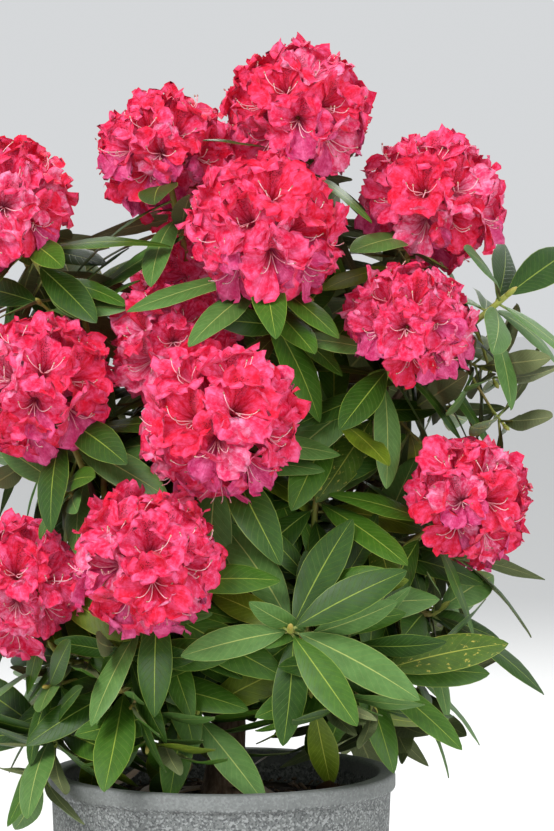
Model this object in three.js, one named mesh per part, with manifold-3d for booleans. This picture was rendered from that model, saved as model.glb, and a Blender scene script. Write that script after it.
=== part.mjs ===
// A large-leaved rhododendron in flower, growing in a round granite-look planter.
// Millimetres. X to the right of the photo, Y away from the camera, Z up from the planter's underside.
import * as THREE from "three";
import Module from "manifold-3d";

const wasm = await Module();
wasm.setup();

// Named sizes
const CLEAR = 0.3;
const POT = { height: 270, footRadius: 160, rimRadius: 171, beadRadius: 175, wall: 14, floor: 18, sides: 36 };
const BEAD = { height: 15, round: 4 };
const SOIL = { top: 240, sides: 24 };
const TRUNK = {
  foot: [4, -2],
  fork: [8, 6, 332],
  lean: [0.06, 0.05, 1],
  shares: [0, 0.07, 0.18, 0.4, 0.7, 1],
  radii: [34, 28.5, 24, 20.5, 17.6, 16.5],
  sides: 10,
};
const BOUGH = { startRadius: 6.6, endRadius: 5.6, sides: 6, steps: 5, tipOut: 0.55, tipUp: 0.84 };
const BRANCH = { startRadius: 4.3, endRadius: 3.7, sides: 6, steps: 4, reach: 0.4, tipUp: 0.35 };
const TWIG = { startRadius: 3.5, endRadius: 3.1, sides: 3, steps: 4 };
const STEM = { radius: 4.2, sides: 6, length: 14, forkShare: 0.45 };
const LEAF = { length: 118, spread: 14, widthShare: 0.36, thickness: 2.4, sunk: 0.2 };
const SPACE = {
  overreach: 64,
  clearance: 1.6,
  limbGap: 2.4,
  leafGap: 5,
  massGap: 0.7,
  potGap: 3,
  sampleAlong: 12,
  sampleAcross: 5,
  rootShare: 0.16,
};
const SIMPLIFY = 0.08;
const ROUNDING = { places: 1e4, nudge: 0.12, tries: 12 };
const CROWN = { centre: [20, 15, 520], radiusX: 268, radiusY: 215, halfHeight: 300 };
const BLOOM = { flowers: 12, lobes: 5, lobeAngle: 20, throat: 0.74, crease: 0.64, under: 0.4, templates: 3 };
const BLOOM_SKIRT = { lowest: -0.3, rimAngle: 122, rimHeight: -0.55, spots: 4, depth: -0.8 };
const BLOOM_GAP = 3;
const GOLDEN_ANGLE = Math.PI * (3 - Math.sqrt(5));
const DEGREE = Math.PI / 180;

// The photo: one millimetre a pixel at the pot's centre, seen from this far and this much from above
const PHOTO = { width: 554, height: 831, potCentreX: 221, groundY: 1042 };
const VIEW = { distance: 3600, downDegrees: 2.6 };

// Heads that show in the photo: mass, pixel across, pixel down, depth behind the pot's centre, and the
// radius in pixels. A radius of 0 is a shoot with no bloom; its last three numbers are the way it faces.
const PHOTO_HEADS = [
  ["crown_top", 297, 115, 10, 71],
  ["crown_top", 265, 232, -92, 78],
  ["crown_upper_left", 165, 157, 40, 64],
  ["crown_upper_left", 205, 268, 62, 60],
  ["crown_left_high", 5, 212, -20, 70],
  ["crown_left_low", 40, 390, -90, 74],
  ["crown_left_low", 18, 590, -100, 68],
  ["crown_middle", 175, 345, -44, 62],
  ["crown_middle", 222, 425, -160, 80],
  ["crown_front_left", 150, 563, -170, 76],
  ["crown_front_left", 118, 690, -124, 0, -0.15, -0.8, 0.6],
  ["crown_front_left", 196, 716, -118, 0, 0.1, -0.8, 0.4],
  ["crown_foot_left", 44, 734, -92, 0, -0.55, -0.6, 0.6],
  ["crown_foot_left", 56, 652, -30, 0, -0.6, -0.2, 0.8],
  ["crown_front_low", 290, 630, -178, 0, 0.05, -0.88, 0.42],
  ["crown_front_low", 318, 492, -66, 0, 0.2, -0.6, 0.8],
  ["crown_front_low", 378, 672, -118, 0, 0.4, -0.72, 0.5],
  ["crown_right_high", 430, 205, 20, 70],
  ["crown_right_high", 410, 325, -84, 62],
  ["crown_right_low", 465, 502, -66, 64],
  ["crown_right_low", 440, 610, -20, 0, 0.7, -0.35, 0.62],
  ["crown_right_low", 378, 536, -46, 0, 0.1, -0.7, 0.7],
  ["crown_right_high", 506, 296, 8, 0, 0.7, -0.35, 0.62],
  ["crown_middle", 340, 412, -40, 0, 0.35, -0.6, 0.72],
  ["crown_left_high", 80, 300, 22, 0, -0.2, -0.45, 0.87],
  ["crown_left_low", 104, 476, -58, 0, 0.1, -0.65, 0.75],
];

// Heads behind, in tiers: heights, share of the crown's reach, bearing of the first, step, radius
const BACK_TIERS = [
  { heights: [930, 870], reach: 0.6, first: 66, step: 41, radius: 64 },
  { heights: [840, 740, 830], reach: 1.0, first: 44, step: 58, radius: 66 },
  { heights: [530, 610, 650], reach: 0.95, first: 28, step: 62, radius: 68 },
  { heights: [494, 452, 472, 485], reach: 0.82, first: 8, step: 54, radius: 0 },
  { heights: [374, 332, 352, 365], reach: 0.66, first: -6, step: 62, radius: 0 },
];
const BACK_MASSES = ["crown_back_right", "crown_back_middle", "crown_back_left"];
const FOOT_MASSES = ["crown_foot_right", "crown_foot_back", "crown_foot_back_left"];
const BACK_LIMITS = [61, 119];

// Boughs: the masses each carries, and where it forks
const BOUGHS = [
  {
    name: "bough_front_left",
    tip: [-38, -50, 410],
    carries: ["crown_front_left", "crown_left_low", "crown_foot_left"],
  },
  {
    name: "bough_front_right",
    tip: [60, -48, 414],
    carries: ["crown_front_low", "crown_right_low"],
  },
  {
    name: "bough_right",
    tip: [76, 34, 440],
    carries: ["crown_right_high", "crown_back_right", "crown_foot_right"],
  },
  {
    name: "bough_back",
    tip: [14, 60, 462],
    carries: ["crown_back_middle", "crown_upper_left", "crown_top", "crown_foot_back"],
  },
  {
    name: "bough_left",
    tip: [-62, 20, 446],
    carries: ["crown_left_high", "crown_back_left", "crown_middle", "crown_foot_back_left"],
  },
];

// A repeatable random number from 0 to 1
function seeded(seed) {
  let state = (seed * 7919 + 17) % 2147483647;
  return () => {
    state = (state * 16807) % 2147483647;
    return state / 2147483647;
  };
}

// Vector helpers
const vec = (x, y, z) => new THREE.Vector3(x, y, z);
const from = (list) => new THREE.Vector3(...list);
const along = (start, direction, distance) => start.clone().addScaledVector(direction, distance);

function sideways(direction) {
  const helper = Math.abs(direction.z) < 0.9 ? vec(0, 0, 1) : vec(1, 0, 0);
  return helper.cross(direction).normalize();
}

function curve(start, startDirection, end, endDirection, steps) {
  const reach = start.distanceTo(end) * 0.36;
  const bezier = new THREE.CubicBezierCurve3(
    start,
    along(start, startDirection, reach),
    along(end, endDirection, -reach),
    end,
  );
  return bezier.getPoints(steps);
}

function pathDirection(path, i) {
  const before = path[Math.max(i - 1, 0)];
  const after = path[Math.min(i + 1, path.length - 1)];
  return after.clone().sub(before).normalize();
}

// A closed tapering tube along a path, with flat ends square to the given directions
function tube(path, radii, sides, startDirection, endDirection) {
  const points = [];
  const faces = [];
  const last = path.length - 1;
  let side = sideways(startDirection);
  path.forEach((centre, i) => {
    let direction = pathDirection(path, i);
    if (i === 0) direction = startDirection;
    if (i === last) direction = endDirection;
    side = side.clone().addScaledVector(direction, -side.dot(direction)).normalize();
    const up = direction.clone().cross(side);
    for (let k = 0; k < sides; k++) {
      const angle = (k / sides) * Math.PI * 2;
      const spoke = side.clone().multiplyScalar(Math.cos(angle)).addScaledVector(up, Math.sin(angle));
      points.push(along(centre, spoke, radii[i]));
    }
  });
  for (let i = 0; i < last; i++) {
    for (let k = 0; k < sides; k++) {
      const next = (k + 1) % sides;
      const low = i * sides;
      const high = low + sides;
      faces.push([low + k, low + next, high + next], [low + k, high + next, high + k]);
    }
  }
  const top = last * sides;
  for (let k = 1; k < sides - 1; k++) {
    faces.push([0, k + 1, k], [top, top + k, top + k + 1]);
  }
  return { points, faces };
}

// A closed solid turned about Z from a profile of [radius, height] that starts and ends on the axis
function turned(profile, sides) {
  const points = [];
  const rings = profile.map(([radius, height]) => {
    if (radius === 0) {
      points.push(vec(0, 0, height));
      return [points.length - 1];
    }
    const ring = [];
    for (let k = 0; k < sides; k++) {
      const angle = (k / sides) * Math.PI * 2;
      points.push(vec(radius * Math.cos(angle), radius * Math.sin(angle), height));
      ring.push(points.length - 1);
    }
    return ring;
  });
  const faces = [];
  for (let i = 0; i < rings.length - 1; i++) {
    const low = rings[i];
    const high = rings[i + 1];
    for (let k = 0; k < sides; k++) {
      const next = (k + 1) % sides;
      if (low.length > 1) faces.push([low[k], low[next], high[high.length > 1 ? next : 0]]);
      if (high.length > 1) faces.push([low.length > 1 ? low[k] : low[0], high[next], high[k]]);
    }
  }
  return { points, faces };
}

// Solids
function solid({ points, faces }) {
  const build = (list) =>
    new wasm.Manifold(
      new wasm.Mesh({
        numProp: 3,
        vertProperties: new Float32Array(points.flatMap((p) => [p.x, p.y, p.z])),
        triVerts: new Uint32Array(list.flat()),
      }),
    );
  const made = build(faces);
  return made.volume() > 0 ? made : build(faces.map(([a, b, c]) => [a, c, b]));
}

// Fuses pieces; loose scraps are dropped and sealed hollows filled by keeping the largest shell
function fused(pieces) {
  let list = pieces.map(solid);
  while (list.length > 1) {
    const joined = [];
    for (let i = 0; i < list.length; i += 2) {
      joined.push(i + 1 < list.length ? list[i].add(list[i + 1]) : list[i]);
    }
    list = joined;
  }
  const shells = list[0].simplify(SIMPLIFY).decompose();
  return shells.reduce((best, shell) => (shell.volume() > best.volume() ? shell : best));
}

// True where the solid is still closed once its corners are rounded as in the files it is stored in
function closesRounded(manifold) {
  const { vertProperties, triVerts } = manifold.getMesh();
  const keys = [];
  for (let i = 0; i < vertProperties.length; i += 3) {
    const corner = vertProperties.slice(i, i + 3);
    keys.push(Array.from(corner, (value) => Math.round(value * ROUNDING.places)).join(","));
  }
  const edges = new Map();
  for (let i = 0; i < triVerts.length; i += 3) {
    const [a, b, c] = [keys[triVerts[i]], keys[triVerts[i + 1]], keys[triVerts[i + 2]]];
    if (a === b || b === c || c === a) continue;
    for (const pair of [[a, b], [b, c], [c, a]]) {
      const edge = pair.sort().join(" ");
      edges.set(edge, (edges.get(edge) ?? 0) + 1);
    }
  }
  return [...edges.values()].every((uses) => uses === 2);
}

const group = new THREE.Group();

function addNode(name, manifold, color, roughness) {
  const mesh = manifold.getMesh();
  const geometry = new THREE.BufferGeometry();
  geometry.setAttribute("position", new THREE.BufferAttribute(new Float32Array(mesh.vertProperties), 3));
  geometry.setIndex(Array.from(mesh.triVerts));
  geometry.computeVertexNormals();
  const material = new THREE.MeshStandardMaterial({ color, roughness, flatShading: true });
  const node = new THREE.Mesh(geometry, material);
  node.name = name;
  group.add(node);
}

// Planter: straight wall that widens a little upwards, a rounded rim, and a floor
function potInnerRadius(height) {
  const share = height / POT.height;
  return POT.footRadius + (POT.rimRadius - POT.footRadius) * share - POT.wall;
}

function planter() {
  const rimInner = potInnerRadius(POT.height);
  const beadFoot = POT.height - BEAD.height;
  const profile = [
    [0, 0],
    [POT.footRadius - BEAD.round, 0],
    [POT.footRadius, BEAD.round],
    [POT.rimRadius - 0.6, beadFoot - BEAD.round],
    [POT.beadRadius, beadFoot],
    [POT.beadRadius, POT.height - BEAD.round],
    [POT.beadRadius - BEAD.round, POT.height],
    [rimInner + BEAD.round, POT.height],
    [rimInner, POT.height - BEAD.round],
    [potInnerRadius(POT.floor), POT.floor],
    [0, POT.floor],
  ];
  return turned(profile, POT.sides);
}

function soil() {
  const profile = [
    [0, POT.floor + CLEAR],
    [potInnerRadius(POT.floor) - 1.5, POT.floor + CLEAR],
    [potInnerRadius(SOIL.top) - 1.5, SOIL.top - 6],
    [potInnerRadius(SOIL.top) - 22, SOIL.top],
    [0, SOIL.top],
  ];
  return turned(profile, SOIL.sides);
}

// Heads: the photo's own, then the tiers behind; blooms are pushed apart in depth until they clear
function headAxis(place) {
  const outward = place.clone().sub(from(CROWN.centre));
  outward.set(outward.x / CROWN.radiusX, outward.y / CROWN.radiusY, (outward.z / CROWN.halfHeight) * 0.5);
  return outward.add(vec(0, 0, 0.75)).normalize();
}

// How many millimetres a pixel shows at this depth
function pixelSize(depth) {
  return 1 + (depth * Math.cos(VIEW.downDegrees * DEGREE)) / VIEW.distance;
}

// The spot that a pixel shows at this depth
function fromPhoto(across, down, depth) {
  const lean = VIEW.downDegrees * DEGREE;
  const size = pixelSize(depth);
  const rise = (PHOTO.height / 2 - down) * size - depth * Math.sin(lean);
  return vec(
    PHOTO.width / 2 - PHOTO.potCentreX + (across - PHOTO.width / 2) * size,
    depth,
    PHOTO.groundY - PHOTO.height / 2 + rise / Math.cos(lean),
  );
}

function allHeads() {
  const heads = PHOTO_HEADS.map(([mass, across, down, depth, radius, ...facing]) => {
    const place = fromPhoto(across, down, depth);
    const axis = facing.length ? from(facing).normalize() : headAxis(place);
    return { mass, place, radius: radius * pixelSize(depth), axis };
  });
  for (const tier of BACK_TIERS) {
    for (let i = 0; i < tier.heights.length; i++) {
      const bearing = tier.first + i * tier.step;
      const index = BACK_LIMITS.filter((limit) => bearing > limit).length;
      const place = vec(
        CROWN.centre[0] + CROWN.radiusX * tier.reach * Math.cos(bearing * DEGREE),
        CROWN.centre[1] + CROWN.radiusY * tier.reach * Math.sin(bearing * DEGREE),
        tier.heights[i],
      );
      const masses = tier.radius > 0 ? BACK_MASSES : FOOT_MASSES;
      heads.push({ mass: masses[index], place, radius: tier.radius, axis: headAxis(place) });
    }
  }
  return heads;
}

function pushApart(heads, rounds, gap) {
  const blooms = heads.filter((head) => head.radius > 0);
  for (let round = 0; round < rounds; round++) {
    for (const a of blooms) {
      for (const b of blooms) {
        if (a.place.y >= b.place.y) continue;
        const short = a.radius + b.radius + gap - a.place.distanceTo(b.place);
        if (short <= 0) continue;
        a.place.y -= short * 0.5;
        b.place.y += short * 0.5;
      }
    }
  }
}

// A twig runs from its mass's stem into the head it carries
function twigPath(stemTop, stemDirection, head) {
  return curve(stemTop, stemDirection, head.place, head.axis, TWIG.steps);
}

function twigRadii() {
  const radii = [];
  for (let i = 0; i <= TWIG.steps; i++) {
    radii.push(THREE.MathUtils.lerp(TWIG.startRadius, TWIG.endRadius, i / TWIG.steps));
  }
  return radii;
}

// A bloom: a ball of open funnels, each a sunken throat with five lobes round it, hollowed below
function hullFaces(points) {
  const faces = [];
  const count = points.length;
  for (let i = 0; i < count; i++) {
    for (let j = i + 1; j < count; j++) {
      for (let k = j + 1; k < count; k++) {
        const a = points[i];
        const normal = points[j].clone().sub(a).cross(points[k].clone().sub(a));
        let above = 0;
        let below = 0;
        for (let m = 0; m < count && (above === 0 || below === 0); m++) {
          if (m === i || m === j || m === k) continue;
          if (points[m].clone().sub(a).dot(normal) > 0) above++;
          else below++;
        }
        if (above === 0) faces.push([i, j, k]);
        else if (below === 0) faces.push([i, k, j]);
      }
    }
  }
  return faces;
}

function bloomTemplate(seed) {
  const random = seeded(seed);
  const centres = [];
  for (let i = 0; i < BLOOM.flowers; i++) {
    const height = 1 - ((i + 0.5) / BLOOM.flowers) * (1 - BLOOM_SKIRT.lowest);
    const ring = Math.sqrt(1 - height * height);
    const angle = i * GOLDEN_ANGLE + random() * 0.2;
    centres.push(vec(ring * Math.cos(angle), ring * Math.sin(angle), height));
  }
  const under = [];
  for (let i = 0; i < BLOOM_SKIRT.spots; i++) {
    const angle = (i / BLOOM_SKIRT.spots) * Math.PI * 2 + random() * 0.3;
    const height = BLOOM_SKIRT.depth - random() * 0.08;
    const ring = Math.sqrt(1 - height * height);
    under.push(vec(ring * Math.cos(angle), ring * Math.sin(angle), height));
  }
  const spots = centres.concat(under);
  const creases = hullFaces(spots).map(([a, b, c]) => {
    const edge = spots[b].clone().sub(spots[a]);
    return edge.cross(spots[c].clone().sub(spots[a])).normalize();
  });
  const directions = [];
  const radii = [];
  for (const centre of centres) {
    directions.push(centre);
    radii.push(BLOOM.throat);
    const side = sideways(centre);
    const up = centre.clone().cross(side);
    const turn = random() * Math.PI;
    for (let k = 0; k < BLOOM.lobes; k++) {
      const angle = turn + (k / BLOOM.lobes) * Math.PI * 2;
      const lean = (BLOOM.lobeAngle + random() * 3) * DEGREE;
      const spoke = side.clone().multiplyScalar(Math.cos(angle)).addScaledVector(up, Math.sin(angle));
      directions.push(centre.clone().multiplyScalar(Math.cos(lean)).addScaledVector(spoke, Math.sin(lean)));
      radii.push(0.9 + random() * 0.1);
    }
  }
  for (const crease of creases.filter((c) => c.z > -0.75)) {
    directions.push(crease);
    radii.push(crease.z > BLOOM_SKIRT.rimHeight ? BLOOM.crease : BLOOM.under);
  }
  for (const spot of under) {
    directions.push(spot);
    radii.push(BLOOM.under);
  }
  return { directions, radii, faces: hullFaces(directions) };
}

const templates = [];
for (let i = 0; i < BLOOM.templates; i++) templates.push(bloomTemplate(31 + i));

function bloom(head, index) {
  const template = templates[index % templates.length];
  const turn = new THREE.Quaternion().setFromUnitVectors(vec(0, 0, 1), head.axis);
  const spin = new THREE.Quaternion().setFromAxisAngle(vec(0, 0, 1), index * GOLDEN_ANGLE);
  const points = template.directions.map((direction, i) => {
    const arm = direction.clone().applyQuaternion(spin).applyQuaternion(turn);
    return along(head.place, arm, template.radii[i] * head.radius);
  });
  return { points, faces: template.faces };
}

// A leaf: oblong, raised to a ridge along its midrib and drooping to the tip, twelve faces
function leafPoint(leaf, share, across) {
  const side = leaf.direction.clone().cross(leaf.normal);
  const droop = leaf.droop * leaf.length * share * share;
  return along(leaf.base, leaf.direction, leaf.length * share)
    .addScaledVector(leaf.normal, -droop)
    .addScaledVector(side, across);
}

const LEAF_OUTLINE = [
  [0.3, 0.74],
  [0.7, 1.0],
];

function leafSolid(leaf, sunk) {
  const half = leaf.width / 2;
  const points = [along(leaf.base, leaf.direction, -sunk)];
  const edge = (side) => LEAF_OUTLINE.map(([share, wide]) => leafPoint(leaf, share, side * half * wide));
  const ridge = LEAF_OUTLINE.map(([share]) => along(leafPoint(leaf, share, 0), leaf.normal, LEAF.thickness));
  points.push(...edge(1), leafPoint(leaf, 1, 0), ...edge(-1).reverse(), ...ridge);
  const faces = [
    [0, 5, 1],
    [1, 5, 4],
    [1, 4, 2],
    [2, 4, 3],
    [6, 0, 1],
    [6, 1, 2],
    [6, 2, 7],
    [7, 2, 3],
    [7, 3, 4],
    [6, 7, 4],
    [6, 4, 5],
    [6, 5, 0],
  ];
  return { points, faces };
}

function leafSamples(leaf) {
  const samples = [];
  for (let i = 1; i <= SPACE.sampleAlong; i++) {
    const share = i / SPACE.sampleAlong;
    const wide = Math.sin(Math.PI * Math.min(share * 0.8 + 0.1, 1));
    for (let k = 0; k < SPACE.sampleAcross; k++) {
      const across = (k / (SPACE.sampleAcross - 1) - 0.5) * leaf.width * wide;
      samples.push({ share, place: leafPoint(leaf, share, across) });
    }
  }
  return samples;
}

// Space: each mass keeps to the points near its own twigs and blooms, and reaches little past the middle
// between them and any other mass's
const sites = [];

function addSite(mass, place, weight) {
  sites.push({ mass, place, weight });
}

function keepsToSpace(mass, point) {
  let own = Infinity;
  let other = Infinity;
  for (const site of sites) {
    const distance = site.place.distanceTo(point) - site.weight;
    if (site.mass === mass) own = Math.min(own, distance);
    else other = Math.min(other, distance);
  }
  return other - own > -SPACE.overreach;
}

// Limbs that a leaf must not touch: stretches between two points with a radius
const limbs = [];

function addLimb(path, radii, owner) {
  for (let i = 0; i < path.length - 1; i++) {
    const line = new THREE.Line3(path[i], path[i + 1]);
    limbs.push({ line, radius: Math.max(radii[i], radii[i + 1]), owner });
  }
}

const nearest = vec(0, 0, 0);

function clearOfLimbs(point, head) {
  return limbs.every(({ line, radius, owner }) => {
    if (owner === head) return true;
    line.closestPointToPoint(point, true, nearest);
    return nearest.distanceTo(point) > radius + SPACE.limbGap;
  });
}

function clearOfBlooms(point, head) {
  return heads.every((other) => {
    if (other.radius === 0) return true;
    const arm = point.clone().sub(other.place);
    const distance = arm.length();
    if (distance > other.radius + SPACE.clearance) return true;
    if (other !== head) return false;
    const under = arm.dot(head.axis) < distance * Math.cos(BLOOM_SKIRT.rimAngle * DEGREE);
    return under && distance > BLOOM.under * head.radius;
  });
}

function clearOfLeaves(samples, leaves) {
  const outer = samples.filter((sample) => sample.share > SPACE.rootShare);
  return leaves.every((leaf) => {
    if (leaf.tip.distanceTo(outer[0].place) > 2.5 * LEAF.length) return true;
    return leaf.samples.every((a) => {
      if (a.share <= SPACE.rootShare) return true;
      return outer.every((b) => a.place.distanceToSquared(b.place) > SPACE.leafGap ** 2);
    });
  });
}

function clearOfPot(point) {
  const radius = Math.hypot(point.x, point.y);
  if (point.z > POT.height + SPACE.potGap) return true;
  if (radius > POT.beadRadius + SPACE.potGap) return point.z > SPACE.potGap;
  return point.z > SOIL.top + SPACE.potGap && radius < potInnerRadius(POT.height) - SPACE.potGap;
}

// Solids of the masses laid before, which a new leaf must clear by a real gap
const settled = [];

function settle(mass, manifold) {
  const box = manifold.boundingBox();
  settled.push({ mass, manifold, box: new THREE.Box3(from(box.min), from(box.max)) });
}

function clearOfOthers(mass, leaf) {
  const made = solid(leafSolid(leaf, LEAF.sunk));
  const { min, max } = made.boundingBox();
  const box = new THREE.Box3(from(min), from(max)).expandByScalar(SPACE.massGap);
  return settled.every((other) => {
    if (other.mass === mass || !box.intersectsBox(other.box)) return true;
    return made.minGap(other.manifold, SPACE.massGap * 2) > SPACE.massGap;
  });
}

function leafFits(head, leaf, laid) {
  const samples = leafSamples(leaf);
  if (!samples.every(({ place }) => clearOfPot(place) && clearOfBlooms(place, head))) return false;
  if (!samples.every(({ place }) => clearOfLimbs(place, head))) return false;
  if (!samples.every(({ place }) => keepsToSpace(head.mass, place))) return false;
  if (!clearOfLeaves(samples, laid) || !clearOfOthers(head.mass, leaf)) return false;
  laid.push({ samples, tip: leafPoint(leaf, 1, 0) });
  settle(head.mass, solid(leafSolid(leaf, LEAF.sunk)));
  return true;
}

// The collar of leaves under a bloom, or the whorl that ends a shoot with no bloom: how many, how far
// below the head they sit, and the angle from the head's axis. A leaf that doesn't fit is turned,
// then swung and shortened.
const COLLAR = { leaves: 10, below: [32, 88], tilt: [84, 136] };
const WHORL = { leaves: 10, below: [4, 34], tilt: [50, 104] };
const REFIT = { tries: 15, turns: [0, 0.3, -0.3], swing: 15, shorter: 0.07, tiltLimits: [34, 158] };

function pointOnPath(path, back) {
  let left = back;
  for (let i = path.length - 1; i > 0; i--) {
    const step = path[i].distanceTo(path[i - 1]);
    if (left <= step) return path[i].clone().lerp(path[i - 1], left / step);
    left -= step;
  }
  return path[0].clone();
}

function shootLeaves(head, path, seed, laid) {
  const random = seeded(seed);
  const { leaves: count, below, tilt: tilts } = head.radius > 0 ? COLLAR : WHORL;
  const axis = head.axis;
  const side = sideways(axis);
  const up = axis.clone().cross(side);
  const leaves = [];
  for (let i = 0; i < count; i++) {
    const share = i / (count - 1);
    const bearing = i * GOLDEN_ANGLE + random() * 0.5;
    const tilt = THREE.MathUtils.lerp(...tilts, share * 0.7 + random() * 0.3);
    const length = LEAF.length + (random() - 0.5) * 2 * LEAF.spread;
    const base = pointOnPath(path, THREE.MathUtils.lerp(...below, share));
    const droop = 0.1 + random() * 0.16;
    for (let attempt = 0; attempt < REFIT.tries; attempt++) {
      const turn = bearing + REFIT.turns[attempt % REFIT.turns.length];
      const step = Math.floor(attempt / REFIT.turns.length);
      const swing = Math.ceil(step / 2) * REFIT.swing * (step % 2 ? 1 : -1);
      const angle = THREE.MathUtils.clamp(tilt + swing, ...REFIT.tiltLimits) * DEGREE;
      const spoke = side.clone().multiplyScalar(Math.cos(turn)).addScaledVector(up, Math.sin(turn));
      const direction = axis.clone().multiplyScalar(Math.cos(angle)).addScaledVector(spoke, Math.sin(angle));
      const normal = axis.clone().multiplyScalar(Math.sin(angle)).addScaledVector(spoke, -Math.cos(angle));
      const leaf = { base, direction, normal, length: length * (1 - REFIT.shorter * step), droop };
      leaf.width = leaf.length * LEAF.widthShare;
      if (leafFits(head, leaf, laid)) {
        leaves.push(leaf);
        break;
      }
    }
  }
  return leaves;
}

// Skeleton: trunk, boughs from its top, branches from each bough's tip, a stem and twigs in each mass
function forkSlots(centre, direction, targets, radius) {
  const side = sideways(direction);
  const up = direction.clone().cross(side);
  const bearings = targets.map((target) => {
    const way = target.clone().sub(centre);
    return Math.atan2(way.dot(up), way.dot(side));
  });
  const order = bearings.map((_, i) => i).sort((a, b) => bearings[a] - bearings[b]);
  const step = (Math.PI * 2) / targets.length;
  let sine = 0;
  let cosine = 0;
  order.forEach((which, slot) => {
    sine += Math.sin(bearings[which] - slot * step);
    cosine += Math.cos(bearings[which] - slot * step);
  });
  const turn = Math.atan2(sine, cosine);
  const ring = (radius + CLEAR) / Math.sin(step / 2);
  const places = [];
  order.forEach((which, slot) => {
    const angle = turn + slot * step;
    places[which] = along(centre, direction, CLEAR)
      .addScaledVector(side, Math.cos(angle) * ring)
      .addScaledVector(up, Math.sin(angle) * ring);
  });
  return places;
}

function taper(startRadius, endRadius, steps) {
  return Array.from({ length: steps + 1 }, (_, i) => THREE.MathUtils.lerp(startRadius, endRadius, i / steps));
}

const heads = allHeads();
pushApart(heads, 40, BLOOM_GAP);

const bark = 0x6b5138;
const trunkFoot = vec(TRUNK.foot[0], TRUNK.foot[1], SOIL.top + CLEAR);
const trunkTop = from(TRUNK.fork);
const trunkDirection = from(TRUNK.lean).normalize();
const trunkPath = TRUNK.shares.map((share) => trunkFoot.clone().lerp(trunkTop, share));

addNode("planter", solid(planter()), 0x9a9a97, 0.9);
addNode("potting_soil", solid(soil()), 0x33261c, 1.0);
const trunkTube = tube(trunkPath, TRUNK.radii, TRUNK.sides, vec(0, 0, 1), trunkDirection);
addNode("trunk", solid(trunkTube), bark, 0.9);
addLimb(trunkPath, TRUNK.radii);

const boughTargets = BOUGHS.map((bough) => from(bough.tip));
const boughStarts = forkSlots(trunkTop, trunkDirection, boughTargets, BOUGH.startRadius);
const stems = {};
BOUGHS.forEach((bough, b) => {
  const tip = boughTargets[b];
  const lean = tip.clone().sub(trunkTop).setZ(0).normalize();
  const tipDirection = lean.multiplyScalar(BOUGH.tipOut).add(vec(0, 0, BOUGH.tipUp)).normalize();
  const path = curve(boughStarts[b], trunkDirection, tip, tipDirection, BOUGH.steps);
  const radii = taper(BOUGH.startRadius, BOUGH.endRadius, BOUGH.steps);
  addNode(bough.name, solid(tube(path, radii, BOUGH.sides, trunkDirection, tipDirection)), bark, 0.9);
  addLimb(path, radii);
  const middles = bough.carries.map((mass) => {
    const own = heads.filter((head) => head.mass === mass);
    return own.reduce((sum, head) => sum.addScaledVector(head.place, 1 / own.length), vec(0, 0, 0));
  });
  const starts = forkSlots(tip, tipDirection, middles, BRANCH.startRadius);
  bough.carries.forEach((mass, i) => {
    const reach = middles[i].clone().sub(tip);
    const end = along(tip, reach, BRANCH.reach);
    const endDirection = reach.normalize().add(vec(0, 0, BRANCH.tipUp)).normalize();
    const branchPath = curve(starts[i], tipDirection, end, endDirection, BRANCH.steps);
    const branchRadii = taper(BRANCH.startRadius, BRANCH.endRadius, BRANCH.steps);
    const name = mass.replace("crown", "branch");
    addNode(name, solid(tube(branchPath, branchRadii, BRANCH.sides, tipDirection, endDirection)), bark, 0.9);
    addLimb(branchPath, branchRadii);
    stems[mass] = { start: along(end, endDirection, CLEAR), direction: endDirection };
  });
});

// Twigs first, so that every mass's space is known before its leaves are laid
heads.forEach((head) => {
  const stem = stems[head.mass];
  const begin = along(stem.start, stem.direction, STEM.length * STEM.forkShare);
  head.path = twigPath(begin, stem.direction, head);
  for (let i = 0; i < head.path.length - 1; i++) {
    for (let k = 0; k < 4; k++) {
      const place = head.path[i].clone().lerp(head.path[i + 1], k / 4);
      addSite(head.mass, place, TWIG.startRadius);
    }
  }
  addLimb(head.path, twigRadii(), head);
  if (head.radius > 0) addSite(head.mass, head.place, head.radius);
  addSite(head.mass, stem.start, STEM.radius);
});

const masses = Object.keys(stems);
const woods = {};
for (const mass of masses) {
  const stem = stems[mass];
  const stemPath = [stem.start, along(stem.start, stem.direction, STEM.length)];
  const stemRadii = [STEM.radius, TWIG.startRadius];
  woods[mass] = [tube(stemPath, stemRadii, STEM.sides, stem.direction, stem.direction)];
  heads.forEach((head, index) => {
    if (head.mass !== mass) return;
    woods[mass].push(tube(head.path, twigRadii(), TWIG.sides, stem.direction, head.axis));
    if (head.radius > 0) woods[mass].push(bloom(head, index));
  });
  woods[mass].forEach((piece) => settle(mass, solid(piece)));
}

for (const mass of masses) {
  const leaves = [];
  const laid = [];
  heads.forEach((head, index) => {
    if (head.mass === mass) leaves.push(...shootLeaves(head, head.path, index + 1, laid));
  });
  let joined = null;
  for (let attempt = 0; attempt < ROUNDING.tries; attempt++) {
    const sunk = LEAF.sunk + attempt * ROUNDING.nudge;
    joined = fused(woods[mass].concat(leaves.map((leaf) => leafSolid(leaf, sunk))));
    if (closesRounded(joined)) break;
  }
  addNode(mass, joined, 0x3f6b3a, 0.6);
}

export default group;
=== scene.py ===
from math import atan2, ceil, cos, hypot, pi, radians, sin, sqrt
from types import SimpleNamespace as Sizes

import bpy
import numpy as np
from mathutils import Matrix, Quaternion, Vector, noise
from mathutils.bvhtree import BVHTree


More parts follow.
